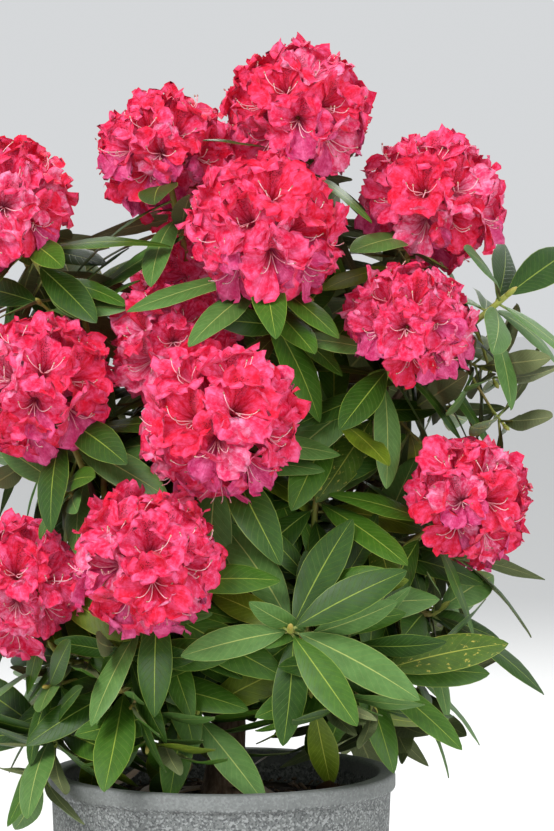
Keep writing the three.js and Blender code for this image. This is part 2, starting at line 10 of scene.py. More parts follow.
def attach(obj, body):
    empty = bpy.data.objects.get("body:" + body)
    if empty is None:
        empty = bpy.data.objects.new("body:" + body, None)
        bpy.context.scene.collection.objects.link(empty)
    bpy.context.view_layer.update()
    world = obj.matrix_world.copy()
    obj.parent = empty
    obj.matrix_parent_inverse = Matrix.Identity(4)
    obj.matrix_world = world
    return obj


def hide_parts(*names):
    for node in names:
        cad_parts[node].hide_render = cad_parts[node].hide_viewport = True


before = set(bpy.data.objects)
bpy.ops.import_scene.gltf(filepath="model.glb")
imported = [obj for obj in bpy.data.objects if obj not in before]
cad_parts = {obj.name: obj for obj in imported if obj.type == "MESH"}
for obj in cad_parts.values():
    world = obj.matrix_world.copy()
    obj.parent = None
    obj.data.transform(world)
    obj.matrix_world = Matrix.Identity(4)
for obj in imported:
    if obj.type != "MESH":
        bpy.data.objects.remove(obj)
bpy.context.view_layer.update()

# Named sizes. Those of the plant and the planter are the same as the source's.
MM = 0.001
CLEAR = 0.3 * MM
POT = Sizes(height=0.270, foot_radius=0.160, rim_radius=0.171, bead_radius=0.175, wall=0.014, sides=160)
BEAD = Sizes(height=0.015, round=0.004, arc_steps=6)
WALL_END = Sizes(inward=0.001, below_soil=0.012)
SOIL = Sizes(
    top=0.240, gap=0.0015, under_wall=0.002, side=0.010, dome=0.004, rings=26, sides=150, relief=0.0045
)
TRUNK = Sizes(
    foot=(0.004, -0.002),
    fork=(0.008, 0.006, 0.332),
    lean=(0.06, 0.05, 1),
    shares=(0, 0.07, 0.18, 0.4, 0.7, 1),
    radii=(0.034, 0.0285, 0.024, 0.0205, 0.0176, 0.0165),
)
BOUGH = Sizes(start_radius=0.0066, end_radius=0.0056, tip_out=0.55, tip_up=0.84, steps=24)
BRANCH = Sizes(start_radius=0.0043, end_radius=0.0037, reach=0.4, tip_up=0.35, steps=20)
TWIG = Sizes(start_radius=0.0038, end_radius=0.0030, steps=16, sides=8)
STEM = Sizes(radius=0.0042, length=0.014, fork_share=0.45, sunk=0.006, step=0.003, sides=12)
LIMB = Sizes(sides=18, step=0.004, sunk=0.010)
RELIEF = Sizes(flake=0.0011, flakes=70, ridge=0.0007, ridges=(130, 130, 38), full_from=0.008)
LEAF = Sizes(
    length=0.118, spread=0.014, width_share=0.36, droop=0.1, droop_spread=0.16, sweep=0.14, turn=0.5
)
CROWN = Sizes(centre=(0.020, 0.015, 0.520), radius_x=0.268, radius_y=0.215, half_height=0.300)
FACING = Sizes(rise=0.5, upward=0.75)
CURVE_REACH = 0.36
BLOOM_PUSH = Sizes(rounds=40, gap=0.003)
GOLDEN_ANGLE = pi * (3 - sqrt(5))
FULL_PHASE = 6.3
UP = Vector((0, 0, 1))
OWN_MAP = "OFBake"
FOLIAGE = "foliage_and_blossom"

# The photo: one millimetre a pixel at the pot's centre, seen from this far and this much from above
PHOTO = Sizes(width=554, height=831, pot_centre_x=221, ground_y=1042)
CAMERA = Sizes(distance=3.6, down_degrees=2.6, sensor=36.0)

# Heads that show in the photo: mass, pixel across, pixel down, millimetres behind the pot's centre, and
# the radius in pixels. A radius of 0 is a shoot with no bloom, and then the way it faces.
PHOTO_HEADS = [
    ("top", 297, 115, 10, 71),
    ("top", 265, 232, -92, 78),
    ("upper_left", 165, 157, 40, 64),
    ("upper_left", 205, 268, 62, 60),
    ("left_high", 5, 212, -20, 70),
    ("left_low", 40, 390, -90, 74),
    ("left_low", 18, 590, -100, 68),
    ("middle", 175, 345, -44, 62),
    ("middle", 222, 425, -160, 80),
    ("front_left", 150, 563, -170, 76),
    ("front_left", 118, 690, -124, 0, (-0.15, -0.8, 0.6)),
    ("front_left", 196, 716, -118, 0, (0.1, -0.8, 0.4)),
    ("foot_left", 44, 734, -92, 0, (-0.55, -0.6, 0.6)),
    ("foot_left", 56, 652, -30, 0, (-0.6, -0.2, 0.8)),
    ("front_low", 290, 630, -178, 0, (0.05, -0.88, 0.42)),
    ("front_low", 318, 492, -66, 0, (0.2, -0.6, 0.8)),
    ("front_low", 378, 672, -118, 0, (0.4, -0.72, 0.5)),
    ("right_high", 430, 205, 20, 70),
    ("right_high", 410, 325, -84, 62),
    ("right_low", 465, 502, -66, 64),
    ("right_low", 440, 610, -20, 0, (0.7, -0.35, 0.62)),
    ("right_low", 378, 536, -46, 0, (0.1, -0.7, 0.7)),
    ("right_high", 506, 296, 8, 0, (0.7, -0.35, 0.62)),
    ("middle", 340, 412, -40, 0, (0.35, -0.6, 0.72)),
    ("left_high", 80, 300, 22, 0, (-0.2, -0.45, 0.87)),
    ("left_low", 104, 476, -58, 0, (0.1, -0.65, 0.75)),
]

# Heads behind, in tiers: heights, share of the crown's reach, bearing of the first, step, radius
BACK_TIERS = [
    Sizes(heights=(0.930, 0.870), reach=0.6, first=66, step=41, radius=0.064),
    Sizes(heights=(0.840, 0.740, 0.830), reach=1.0, first=44, step=58, radius=0.066),
    Sizes(heights=(0.530, 0.610, 0.650), reach=0.95, first=28, step=62, radius=0.068),
    Sizes(heights=(0.494, 0.452, 0.472, 0.485), reach=0.82, first=8, step=54, radius=0),
    Sizes(heights=(0.374, 0.332, 0.352, 0.365), reach=0.66, first=-6, step=62, radius=0),
]
BACK_MASSES = ["back_right", "back_middle", "back_left"]
FOOT_MASSES = ["foot_right", "foot_back", "foot_back_left"]
BACK_LIMITS = [61, 119]

# Boughs: the tip where each forks, and the masses it carries
BOUGHS = {
    "bough_front_left": ((-0.038, -0.050, 0.410), ["front_left", "left_low", "foot_left"]),
    "bough_front_right": ((0.060, -0.048, 0.414), ["front_low", "right_low"]),
    "bough_right": ((0.076, 0.034, 0.440), ["right_high", "back_right", "foot_right"]),
    "bough_back": ((0.014, 0.060, 0.462), ["back_middle", "upper_left", "top", "foot_back"]),
    "bough_left": ((-0.062, 0.020, 0.446), ["left_high", "back_left", "middle", "foot_back_left"]),
}


# Small helpers
def seeded(seed):
    """A repeatable random number from 0 to 1."""
    state = [(seed * 7919 + 17) % 2147483647]

    def draw():
        state[0] = (state[0] * 16807) % 2147483647
        return state[0] / 2147483647

    return draw


def lerp(low, high, share):
    return low + (high - low) * share


def sideways(direction):
    helper = UP if abs(direction.z) < 0.9 else Vector((1, 0, 0))
    return helper.cross(direction).normalized()


def around(side, up, angle):
    return side * cos(angle) + up * sin(angle)


def curve(start, start_direction, end, end_direction, steps):
    """Points of a smooth curve that leaves and arrives in the given directions."""
    reach = (end - start).length * CURVE_REACH
    first = start + start_direction * reach
    second = end - end_direction * reach
    points = []
    for i in range(steps + 1):
        t = i / steps
        u = 1 - t
        points.append(start * u**3 + first * (3 * u * u * t) + second * (3 * u * t * t) + end * t**3)
    return points


def taper(start_radius, end_radius, count):
    return [lerp(start_radius, end_radius, i / (count - 1)) for i in range(count)]


def point_back(path, back):
    """The point this far back along a path from its end."""
    left = back
    for after, before in zip(path[::-1], path[-2::-1]):
        step = (after - before).length
        if left <= step:
            return after.lerp(before, left / step)
        left -= step
    return path[0].copy()


# Shader nodes
def straight(operation):
    return lambda wire, other: wire.math(operation, wire, other)


def reflected(operation):
    return lambda wire, other: wire.math(operation, other, wire)


class Wire:
    """A shader socket. Sums on it add Math nodes to its finish."""

    __add__ = straight("ADD")
    __radd__ = reflected("ADD")
    __sub__ = straight("SUBTRACT")
    __rsub__ = reflected("SUBTRACT")
    __mul__ = straight("MULTIPLY")
    __rmul__ = reflected("MULTIPLY")
    __truediv__ = straight("DIVIDE")

    def __init__(self, finish, socket):
        self.finish = finish
        self.socket = socket

    def math(self, operation, *values):
        return self.finish.node("ShaderNodeMath", {"operation": operation}, dict(enumerate(values)))

    def __abs__(self):
        return self.math("ABSOLUTE", self)

    def fraction(self):
        return self.math("FRACT", self)

    def smooth(self, low, high):
        """0 below low, 1 above high, and a soft step between them."""
        values = {"Value": self, "From Min": low, "From Max": high}
        return self.finish.node("ShaderNodeMapRange", {"interpolation_type": "SMOOTHSTEP"}, values)


class Finish:
    """A material whose nodes are added by one method."""

    def __init__(self, name, **constants):
        self.material = bpy.data.materials.new(name)
        self.material.use_nodes = True
        self.tree = self.material.node_tree
        self.shader = self.tree.nodes["Principled BSDF"]
        for socket, value in constants.items():
            title = socket.replace("_", " ").title().replace("Ior", "IOR")
            self.shader.inputs[title].default_value = value

    def node(self, kind, settings=None, values=None, output=0):
        made = self.tree.nodes.new(kind)
        for key, value in (settings or {}).items():
            if key == "stops":
                self.set_stops(made.color_ramp, value)
            else:
                setattr(made, key, value)
        for key, value in (values or {}).items():
            self.feed(made.inputs[key], value)
        return Wire(self, made.outputs[output])

    def feed(self, socket, value):
        if isinstance(value, Wire):
            self.tree.links.new(value.socket, socket)
        elif isinstance(value, tuple) and socket.type == "RGBA":
            socket.default_value = (*value, 1)
        else:
            socket.default_value = value

    def set_stops(self, ramp, stops):
        while len(ramp.elements) < len(stops):
            ramp.elements.new(0.5)
        for element, (place, colour) in zip(ramp.elements, stops):
            element.position = place
            element.color = (*colour, 1)

    def place(self):
        return self.node("ShaderNodeTexCoord", output=3)

    def own_map(self):
        """Across and along a leaf or petal, each from 0 to 1, and how far out from its middle line."""
        found = self.node("ShaderNodeUVMap", {"uv_map": OWN_MAP})
        across = self.node("ShaderNodeSeparateXYZ", values={0: found})
        along = Wire(self, across.socket.node.outputs[1])
        return across, along, abs(across - 0.5) * 2

    def beside_veins(self, across, along, edge):
        """How far from the nearest side vein, in a ladder that runs out and forward from the midrib."""
        ladder = (along * 15.0 - edge * 2.6 + across.smooth(0.49, 0.51) * 0.5).fraction()
        return abs(ladder - 0.5)

    def noise(self, vector, scale, detail=4.0, roughness=0.55):
        values = {"Vector": vector, "Scale": scale, "Detail": detail, "Roughness": roughness}
        return self.node("ShaderNodeTexNoise", values=values)

    def own_noise(self, across, along, scale, detail=4.0):
        """Noise on the own map."""
        return self.noise(self.joined(across, along), scale, detail)

    def joined(self, x, y):
        return self.node("ShaderNodeCombineXYZ", values={0: x, 1: y})

    def grains(self, vector, scale, output=0):
        values = {"Vector": vector, "Scale": scale}
        return self.node("ShaderNodeTexVoronoi", values=values, output=output)

    def ramp(self, value, stops):
        return self.node("ShaderNodeValToRGB", {"stops": stops}, {0: value})

    def mix(self, factor, first, second):
        values = {0: factor, 6: first, 7: second}
        return self.node("ShaderNodeMix", {"data_type": "RGBA"}, values, output=2)

    def layers(self, colour, *coats):
        """Coats of colour over another, each with its mask."""
        for mask, coat in coats:
            colour = self.mix(mask, colour, coat)
        return colour

    def done(self, colour, roughness, relief=None):
        """Feeds the shader; relief is a height, its strength and its depth."""
        self.feed(self.shader.inputs["Base Color"], colour)
        self.feed(self.shader.inputs["Roughness"], roughness)
        if relief:
            values = dict(zip(("Height", "Strength", "Distance"), relief))
            self.feed(self.shader.inputs["Normal"], self.node("ShaderNodeBump", values=values))
        return self.material


def granite():
    finish = Finish("granite_look_stone", specular_ior_level=0.35)
    place = finish.place()
    cloud = finish.noise(place, 14.0)
    grit = finish.noise(place, 900.0, roughness=0.7)
    flecks = finish.grains(place, 520.0, output=1)
    tone = finish.node("ShaderNodeSeparateColor", values={0: flecks})
    height = finish.node("ShaderNodeSeparateXYZ", values={0: place}, output=2)
    lip = POT.height - BEAD.height
    coarse = 1 - height.smooth(lip - 0.001, lip + 0.002) * 0.75
    stone = finish.layers(
        finish.ramp(cloud, [(0.3, (0.175, 0.186, 0.182)), (0.7, (0.225, 0.238, 0.232))]),
        (grit.smooth(0.38, 0.66) * coarse * 0.60, (0.105, 0.110, 0.110)),
        (tone.smooth(0.70, 0.80) * coarse * 0.60, (0.055, 0.056, 0.060)),
        ((1 - tone.smooth(0.20, 0.30)) * coarse * 0.55, (0.42, 0.435, 0.43)),
    )
    return finish.done(stone, 0.74 + grit * 0.2, (grit * coarse, 0.40, 0.0006))


def earth():
    finish = Finish("potting_soil", specular_ior_level=0.15)
    place = finish.place()
    clods = finish.noise(place, 95.0, detail=6.0, roughness=0.65)
    crumbs = finish.grains(place, 300.0)
    stops = [(0.3, (0.012, 0.008, 0.006)), (0.55, (0.040, 0.026, 0.017)), (0.8, (0.085, 0.058, 0.038))]
    ground = finish.ramp(clods, stops)
    return finish.done(ground, 0.85 + crumbs * 0.1, (clods + crumbs * 0.5, 0.8, 0.003))


def bark():
    finish = Finish("brown_bark", specular_ior_level=0.25)
    place = finish.place()
    stretched = finish.node("ShaderNodeMapping", values={0: place, "Scale": (1.0, 1.0, 0.22)})
    strips = finish.noise(stretched, 210.0, detail=6.0, roughness=0.6)
    lichen = finish.noise(place, 38.0, detail=3.0)
    stops = [(0.28, (0.050, 0.030, 0.018)), (0.5, (0.135, 0.088, 0.055)), (0.75, (0.26, 0.19, 0.13))]
    brown = finish.mix(lichen.smooth(0.56, 0.72) * 0.35, finish.ramp(strips, stops), (0.24, 0.23, 0.16))
    return finish.done(brown, 0.75 + strips * 0.2, (strips, 0.8, 0.0016))


# Young wood: its green and the warmer flush on it
GREEN_WOOD = {
    "leaf_stalk_green": ((0.23, 0.30, 0.075), (0.34, 0.33, 0.10)),
    "flower_stalk_green": ((0.30, 0.26, 0.07), (0.42, 0.10, 0.08)),
    "young_shoot_green": ((0.32, 0.36, 0.06), (0.30, 0.20, 0.07)),
    "bud_yellow_green": ((0.36, 0.40, 0.07), (0.46, 0.30, 0.07)),
}


def green_wood(name):
    """Young shoots and stalks: green, flushed with a warmer colour in patches."""
    green, flush = GREEN_WOOD[name]
    finish = Finish(name, specular_ior_level=0.4)
    place = finish.place()
    patches = finish.noise(place, 60.0, detail=3.0)
    streaks = finish.noise(place, 420.0)
    flushed = (patches.smooth(0.42, 0.68) * 0.8, flush)
    streaked = (streaks.smooth(0.5, 0.75) * 0.25, (0.42, 0.44, 0.20))
    wood = finish.layers(green, flushed, streaked)
    return finish.done(wood, 0.45 + streaks * 0.2, (streaks, 0.3, 0.0005))


def leaf_finish(name, tint, coat, tan=0.0):
    """The upper side of a leathery leaf: pale midrib, side veins, a thin pale edge, mottled green."""
    green, shade, vein = tint
    finish = Finish(name, coat_weight=coat, coat_roughness=0.34, specular_ior_level=0.28)
    across, along, edge = finish.own_map()
    from_vein = finish.beside_veins(across, along, edge)
    mottle = finish.own_noise(across * 1.3, along * 3.2, 3.0)
    fine = finish.own_noise(across * 14.0, along * 34.0, 2.2, detail=3.0)
    side_veins = (1 - from_vein.smooth(0.015, 0.10)) * (1 - edge.smooth(0.82, 1.0))
    midrib = 1 - (edge / (0.062 - along * 0.034)).smooth(0.45, 1.0)
    body = finish.mix(0.30 + mottle.smooth(0.25, 0.75) * 0.70, shade, green)
    layers = [
        (from_vein.smooth(0.1, 0.5) * 0.16, shade),
        (fine.smooth(0.5, 0.8) * 0.06, vein),
        (side_veins * 0.08, vein),
        (midrib * 0.85, vein),
        (edge.smooth(0.955, 0.985) * 0.60, vein),
    ]
    if tan:
        blemish = finish.own_noise(across * 5.0, along * 12.0, 1.6, detail=3.0)
        layers.append((blemish.smooth(0.60, 0.70) * tan, (0.50, 0.42, 0.08)))
    height = 0.6 - side_veins * 0.35 - midrib * 0.6 + fine * 0.12
    roughness = 0.42 + mottle * 0.14 - midrib * 0.05
    return finish.done(finish.layers(body, *layers), roughness, (height, 0.55, 0.0012))


def underside_finish():
    finish = Finish("leaf_underside_felt", specular_ior_level=0.2)
    across, along, edge = finish.own_map()
    from_vein = finish.beside_veins(across, along, edge)
    side_veins = (1 - from_vein.smooth(0.02, 0.12)) * (1 - edge.smooth(0.8, 1.0))
    midrib = 1 - (edge / (0.10 - along * 0.06)).smooth(0.5, 1.0)
    felt = finish.own_noise(across * 20.0, along * 46.0, 2.5)
    green = finish.mix(felt.smooth(0.3, 0.7), (0.145, 0.185, 0.075), (0.215, 0.250, 0.115))
    veins = (side_veins * 0.35, (0.30, 0.33, 0.14))
    rib = (midrib * 0.85, (0.42, 0.44, 0.18))
    height = side_veins * 0.5 + midrib * 0.8 + felt * 0.1
    return finish.done(finish.layers(green, veins, rib), 0.72 + felt * 0.15, (height, 0.5, 0.0012))


def petal_finish(name, tint, freckled):
    """A ruffled petal: deep at the throat, rose in the middle, with paler patches that are partly its
    own tone and partly painted sheen highlight, and a faint painted glow.
    """
    throat, body, pale = tint
    # The emission strength makes the petals glow faintly in their own colour, a painted glow that
    # stands in for light shining through them.
    gloss = dict(specular_ior_level=0.2, sheen_weight=0.08, sheen_roughness=0.4, emission_strength=0.08)
    finish = Finish(name, **gloss)
    across, along, edge = finish.own_map()
    fan = finish.own_noise(across * 26.0, along * 1.6, 1.0)
    crinkle = finish.own_noise(across * 7.0, along * 9.0, 1.3)
    patches = finish.own_noise(across * 3.0, along * 3.6, 1.3, detail=3.0)
    # Painted highlight: a paler middle line down the outer part of each petal.
    centre_line_highlight = (1 - edge.smooth(0.03, 0.34)) * along.smooth(0.25, 0.5) * 0.30
    # The pale colour goes on in patches, partly the petal's own uneven tone and partly painted sheen,
    # and on the crests of the crinkle as painted highlight.
    layers = [
        (patches.smooth(0.40, 0.66) * 0.80 + crinkle.smooth(0.42, 0.70) * 0.40 + centre_line_highlight, pale),
        (fan.smooth(0.48, 0.62) * (1 - along.smooth(0.80, 1.0)) * 0.35, body),
        (edge.smooth(0.82, 1.0) * 0.5 + along.smooth(0.94, 1.0) * 0.4, body),
    ]
    if freckled:
        spots = finish.grains(finish.joined(across * 21.0, along * 27.0), 1.0)
        inside = along.smooth(0.30, 0.42) * (1 - along.smooth(0.72, 0.88))
        inside = inside * (1 - edge.smooth(0.26, 0.58))
        layers.append((inside * 0.45, throat))
        layers.append(((1 - spots.smooth(0.26, 0.44)) * inside * 0.90, (0.17, 0.002, 0.012)))
    tinted = finish.layers(finish.mix(along.smooth(0.10, 0.45), throat, body), *layers)
    # The petal colour feeds the emission too: painted glow that lightens the petals' shade.
    finish.feed(finish.shader.inputs["Emission Color"], tinted)
    return finish.done(tinted, 0.50 + crinkle * 0.18, (fan * 0.6 + crinkle * 1.2, 0.85, 0.0026))


def thread_finish(name, pale, deep):
    finish = Finish(name, specular_ior_level=0.3)
    shade = finish.noise(finish.place(), 130.0, detail=3.0)
    return finish.done(finish.mix(shade.smooth(0.35, 0.65), pale, deep), 0.45 + shade * 0.2)


# Many small shapes joined into one piece
class Heap:
    """Corners, faces and own-map places of many shapes that become one piece."""

    def __init__(self):
        self.points = []
        self.places = []
        self.faces = []
        self.count = 0

    def add(self, points, faces, places=None):
        points = np.asarray(points, float).reshape(-1, 3)
        self.points.append(points)
        self.places.append(np.zeros((len(points), 2)) if places is None else places)
        self.faces.extend([[i + self.count for i in face] for face in faces])
        self.count += len(points)

    def add_tapered(self, path, kind):
        self.add(*tube(path, taper(*kind.radii, len(path)), kind.sides))

    def make(self, name, material, nodes=(), slot=FOLIAGE):
        mesh = bpy.data.meshes.new(name)
        mesh.from_pydata(np.concatenate(self.points).tolist(), [], self.faces)
        corners = np.zeros(len(mesh.loops), int)
        mesh.loops.foreach_get("vertex_index", corners)
        own_map = mesh.uv_layers.new(name=OWN_MAP)
        own_map.data.foreach_set("uv", np.concatenate(self.places)[corners].ravel())
        mesh.shade_smooth()
        mesh.update()
        piece = bpy.data.objects.new(name, mesh)
        bpy.context.scene.collection.objects.link(piece)
        settle(piece, material, nodes)


def settle(piece, material, nodes=()):
    """Gives a finished piece its material and its place on the plant."""
    piece.data.materials.clear()
    piece.data.materials.append(material)
    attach(piece, "root")
    if nodes:
        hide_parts(*nodes)


def grid_faces(rows, columns, flip=False):
    faces = []
    for i in range(rows - 1):
        for k in range(columns - 1):
            corner = i * columns + k
            face = [corner, corner + 1, corner + columns + 1, corner + columns]
            faces.append([face[0], *face[:0:-1]] if flip else face)
    return faces


def own_places(rows, columns):
    return np.array([((column + 1) / 2, row) for row in rows for column in columns])


def tube(path, radii, sides):
    """A closed tube along a path: points and faces."""
    points = []
    last = len(path) - 1
    side = sideways((path[1] - path[0]).normalized())
    for i, centre in enumerate(path):
        direction = (path[min(i + 1, last)] - path[max(i - 1, 0)]).normalized()
        side = (side - direction * side.dot(direction)).normalized()
        up = direction.cross(side)
        for k in range(sides):
            points.append(centre + around(side, up, 2 * pi * k / sides) * radii[i])
    faces = []
    for i in range(last):
        for k in range(sides):
            low = i * sides
            following = (k + 1) % sides
            faces.append([low + k, low + following, low + sides + following, low + sides + k])
    faces.append(list(range(sides))[::-1])
    faces.append([last * sides + k for k in range(sides)])
    return points, faces


# Heads: the photo's own, then the tiers behind; blooms are pushed apart in depth until they clear
def head_axis(place):
    """A head faces out from the crown's centre and partly up."""
    outward = place - Vector(CROWN.centre)
    outward.x /= CROWN.radius_x
    outward.y /= CROWN.radius_y
    outward.z *= FACING.rise / CROWN.half_height
    return (outward + UP * FACING.upward).normalized()


class Head:
    def __init__(self, mass, place, radius, axis=None):
        self.mass = mass
        self.place = place
        self.radius = radius
        self.axis = axis or head_axis(place)
        self.path = []


def pixel_size(depth):
    """How much a pixel shows at this depth."""
    lean = radians(CAMERA.down_degrees)
    return MM * (1 + depth * cos(lean) / CAMERA.distance)


def from_photo(across, down, depth):
    """The spot that a pixel shows at this depth."""
    lean = radians(CAMERA.down_degrees)
    size = pixel_size(depth)
    rise = (PHOTO.height / 2 - down) * size - depth * sin(lean)
    return Vector((
        (PHOTO.width / 2 - PHOTO.pot_centre_x) * MM + (across - PHOTO.width / 2) * size,
        depth,
        (PHOTO.ground_y - PHOTO.height / 2) * MM + rise / cos(lean),
    ))


def all_heads():
    found = []
    for mass, across, down, behind, radius, *facing in PHOTO_HEADS:
        depth = behind * MM
        axis = Vector(facing[0]).normalized() if facing else None
        found.append(Head(mass, from_photo(across, down, depth), radius * pixel_size(depth), axis))
    for tier in BACK_TIERS:
        for i, height in enumerate(tier.heights):
            bearing = tier.first + i * tier.step
            index = sum(bearing > limit for limit in BACK_LIMITS)
            angle = radians(bearing)
            place = Vector((
                CROWN.centre[0] + CROWN.radius_x * tier.reach * cos(angle),
                CROWN.centre[1] + CROWN.radius_y * tier.reach * sin(angle),
                height,
            ))
            masses = BACK_MASSES if tier.radius > 0 else FOOT_MASSES
            found.append(Head(masses[index], place, tier.radius))
    return found


def push_apart(found):
    blooms = [head for head in found if head.radius > 0]
    for _ in range(BLOOM_PUSH.rounds):
        for a in blooms:
            for b in blooms:
                if a.place.y >= b.place.y:
                    continue
                short = a.radius + b.radius + BLOOM_PUSH.gap - (a.place - b.place).length
                if short > 0:
                    a.place.y -= short * 0.5
                    b.place.y += short * 0.5


def fork_slots(centre, direction, targets, radius):
    """Where limbs start side by side round a limb's end, each nearest to its own target."""
    side = sideways(direction)
    up = direction.cross(side)
    ways = [target - centre for target in targets]
    bearings = [atan2(way.dot(up), way.dot(side)) for way in ways]
    order = sorted(range(len(targets)), key=lambda i: bearings[i])
    step = 2 * pi / len(targets)
    sine = sum(sin(bearings[which] - slot * step) for slot, which in enumerate(order))
    cosine = sum(cos(bearings[which] - slot * step) for slot, which in enumerate(order))
    turn = atan2(sine, cosine)
    ring = (radius + CLEAR) / sin(step / 2)
    places = [None] * len(targets)
    for slot, which in enumerate(order):
        places[which] = centre + direction * CLEAR + around(side, up, turn + slot * step) * ring
    return places


# Skeleton: trunk, boughs from its top, branches from each bough's tip, and twigs to the heads
heads = all_heads()
push_apart(heads)
masses = [mass for _, carries in BOUGHS.values() for mass in carries]
crown_nodes = ["crown_" + mass for mass in masses]
limb_nodes = ["trunk", *BOUGHS, *["branch_" + mass for mass in masses]]

trunk_foot = Vector((*TRUNK.foot, SOIL.top + CLEAR))
trunk_top = Vector(TRUNK.fork)
trunk_direction = Vector(TRUNK.lean).normalized()
trunk_path = [trunk_foot.lerp(trunk_top, share) for share in TRUNK.shares]
limbs = [(trunk_path, list(TRUNK.radii))]
stems = {}

bough_tips = [Vector(tip) for tip, _ in BOUGHS.values()]
bough_starts = fork_slots(trunk_top, trunk_direction, bough_tips, BOUGH.start_radius)
for (_, carries), tip, bough_start in zip(BOUGHS.values(), bough_tips, bough_starts):
    lean = tip - trunk_top
    lean.z = 0
    tip_direction = (lean.normalized() * BOUGH.tip_out + UP * BOUGH.tip_up).normalized()
    path = curve(bough_start, trunk_direction, tip, tip_direction, BOUGH.steps)
    limbs.append((path, taper(BOUGH.start_radius, BOUGH.end_radius, len(path))))
    middles = []
    for mass in carries:
        own = [head.place for head in heads if head.mass == mass]
        middles.append(sum(own, Vector()) / len(own))
    starts = fork_slots(tip, tip_direction, middles, BRANCH.start_radius)
    for mass, middle, start in zip(carries, middles, starts):
        reach = middle - tip
        end = tip + reach * BRANCH.reach
        end_direction = (reach.normalized() + UP * BRANCH.tip_up).normalized()
        path = curve(start, tip_direction, end, end_direction, BRANCH.steps)
        limbs.append((path, taper(BRANCH.start_radius, BRANCH.end_radius, len(path))))
        stems[mass] = (end + end_direction * CLEAR, end_direction)

for head in heads:
    stem_start, stem_direction = stems[head.mass]
    begin = stem_start + stem_direction * STEM.length * STEM.fork_share
    head.path = curve(begin, stem_direction, head.place, head.axis, TWIG.steps)


# Leaves: laid by the source's rule, then more and finer ones where there is room
class Leaf:
    def __init__(self, base, direction, normal, length, droop, sweep):
        self.base = base
        self.direction = direction
        self.normal = normal
        self.side = direction.cross(normal)
        self.length = length
        self.droop = droop
        self.sweep = sweep
        self.width = length * LEAF.width_share

    def spine(self, share):
        bend = self.droop * self.length * share * share
        swing = self.sweep * self.length * share * share
        straight_on = self.base + self.direction * (self.length * share)
        return straight_on - self.normal * bend + self.side * swing

    def rows(self, shares, half_of):
        """Three points across the leaf at each share of its length."""
        points = []
        for share in shares:
            middle = self.spine(share)
            out = self.side * (self.width * 0.5 * half_of(share))
            points.extend([middle - out, middle, middle + out])
        return points


BLADE = Sizes(start=0.06, end=1.06, fold=0.20, roll=0.24, wave=0.07, narrow=0.86, thickness=0.0011)


def half_width(share):
    """A long oval outline, widest just past the middle, that comes to a point."""
    rounded = sin(pi * share**1.10) if 0 < share < 1 else 0.0
    return BLADE.narrow * max(rounded, 0.0) ** 0.72


def blade_half(share):
    return half_width(share / BLADE.end)


def plain_half(share):
    """The simpler outline that keeps room round a leaf."""
    return sin(pi * min(share * 0.8 + 0.1, 1))


SAMPLE_SHARES = [0.2, 0.32, 0.44, 0.56, 0.68, 0.8, 0.9, 1.0]
BLOOM_SKIRT_ANGLE = radians(122)
BLOOM_UNDER = 0.4
SURFACE_SHARES = [0.18, 0.34, 0.50, 0.66, 0.82, 0.94, 1.04]
NEAR = Sizes(room=1.5, crossing=1.1)
ROOM = Sizes(bloom=0.0016, limb=0.0024, pot=0.003, leaf=0.005)

# Ways to lay leaves: their count, how far below the tip, their tilt in degrees, size and seed
COLLAR = Sizes(leaves=10, below=(0.032, 0.088), tilt=(84, 136), size=1.0, seed=1)
WHORL = Sizes(leaves=10, below=(0.004, 0.034), tilt=(50, 104), size=1.0, seed=1)
OLDER = Sizes(leaves=6, below=(0.078, 0.135), tilt=(78, 128), size=0.95, seed=401)
SIDE_WHORL = Sizes(leaves=6, below=(0.002, 0.016), tilt=(52, 108), size=0.82, seed=100)
REFIT = Sizes(tries=15, turns=(0, 0.3, -0.3), swing=15, shorter=0.07, limits=(34, 158))

# Finer side shoots: how far back on the twig, how much they rise, their reach and seed, and whether
# the twigs of blooms have them too
SIDE_SHOOTS = [
    Sizes(back=0.120, lift=0.5, reach=0.038, seed=701, under_blooms=True),
    Sizes(back=0.066, lift=-0.35, reach=0.038, seed=1301, under_blooms=False),
    Sizes(back=0.090, lift=-1.60, reach=0.080, seed=1901, under_blooms=False),
    Sizes(back=0.500, lift=-1.90, reach=0.065, seed=3301, under_blooms=False),
    Sizes(back=0.160, lift=-0.90, reach=0.045, seed=2503, under_blooms=True),
    Sizes(back=0.450, lift=-3.20, reach=0.088, seed=4101, under_blooms=False),
    Sizes(back=0.030, lift=-2.60, reach=0.055, seed=4703, under_blooms=False),
]
SHOOT = Sizes(
    back_spread=0.030, lift_spread=0.4, reach_spread=0.026, steps=6, radii=(0.0021, 0.0015), sides=6
)
SHOOT_TESTS = (0.0, 0.012, 0.024)


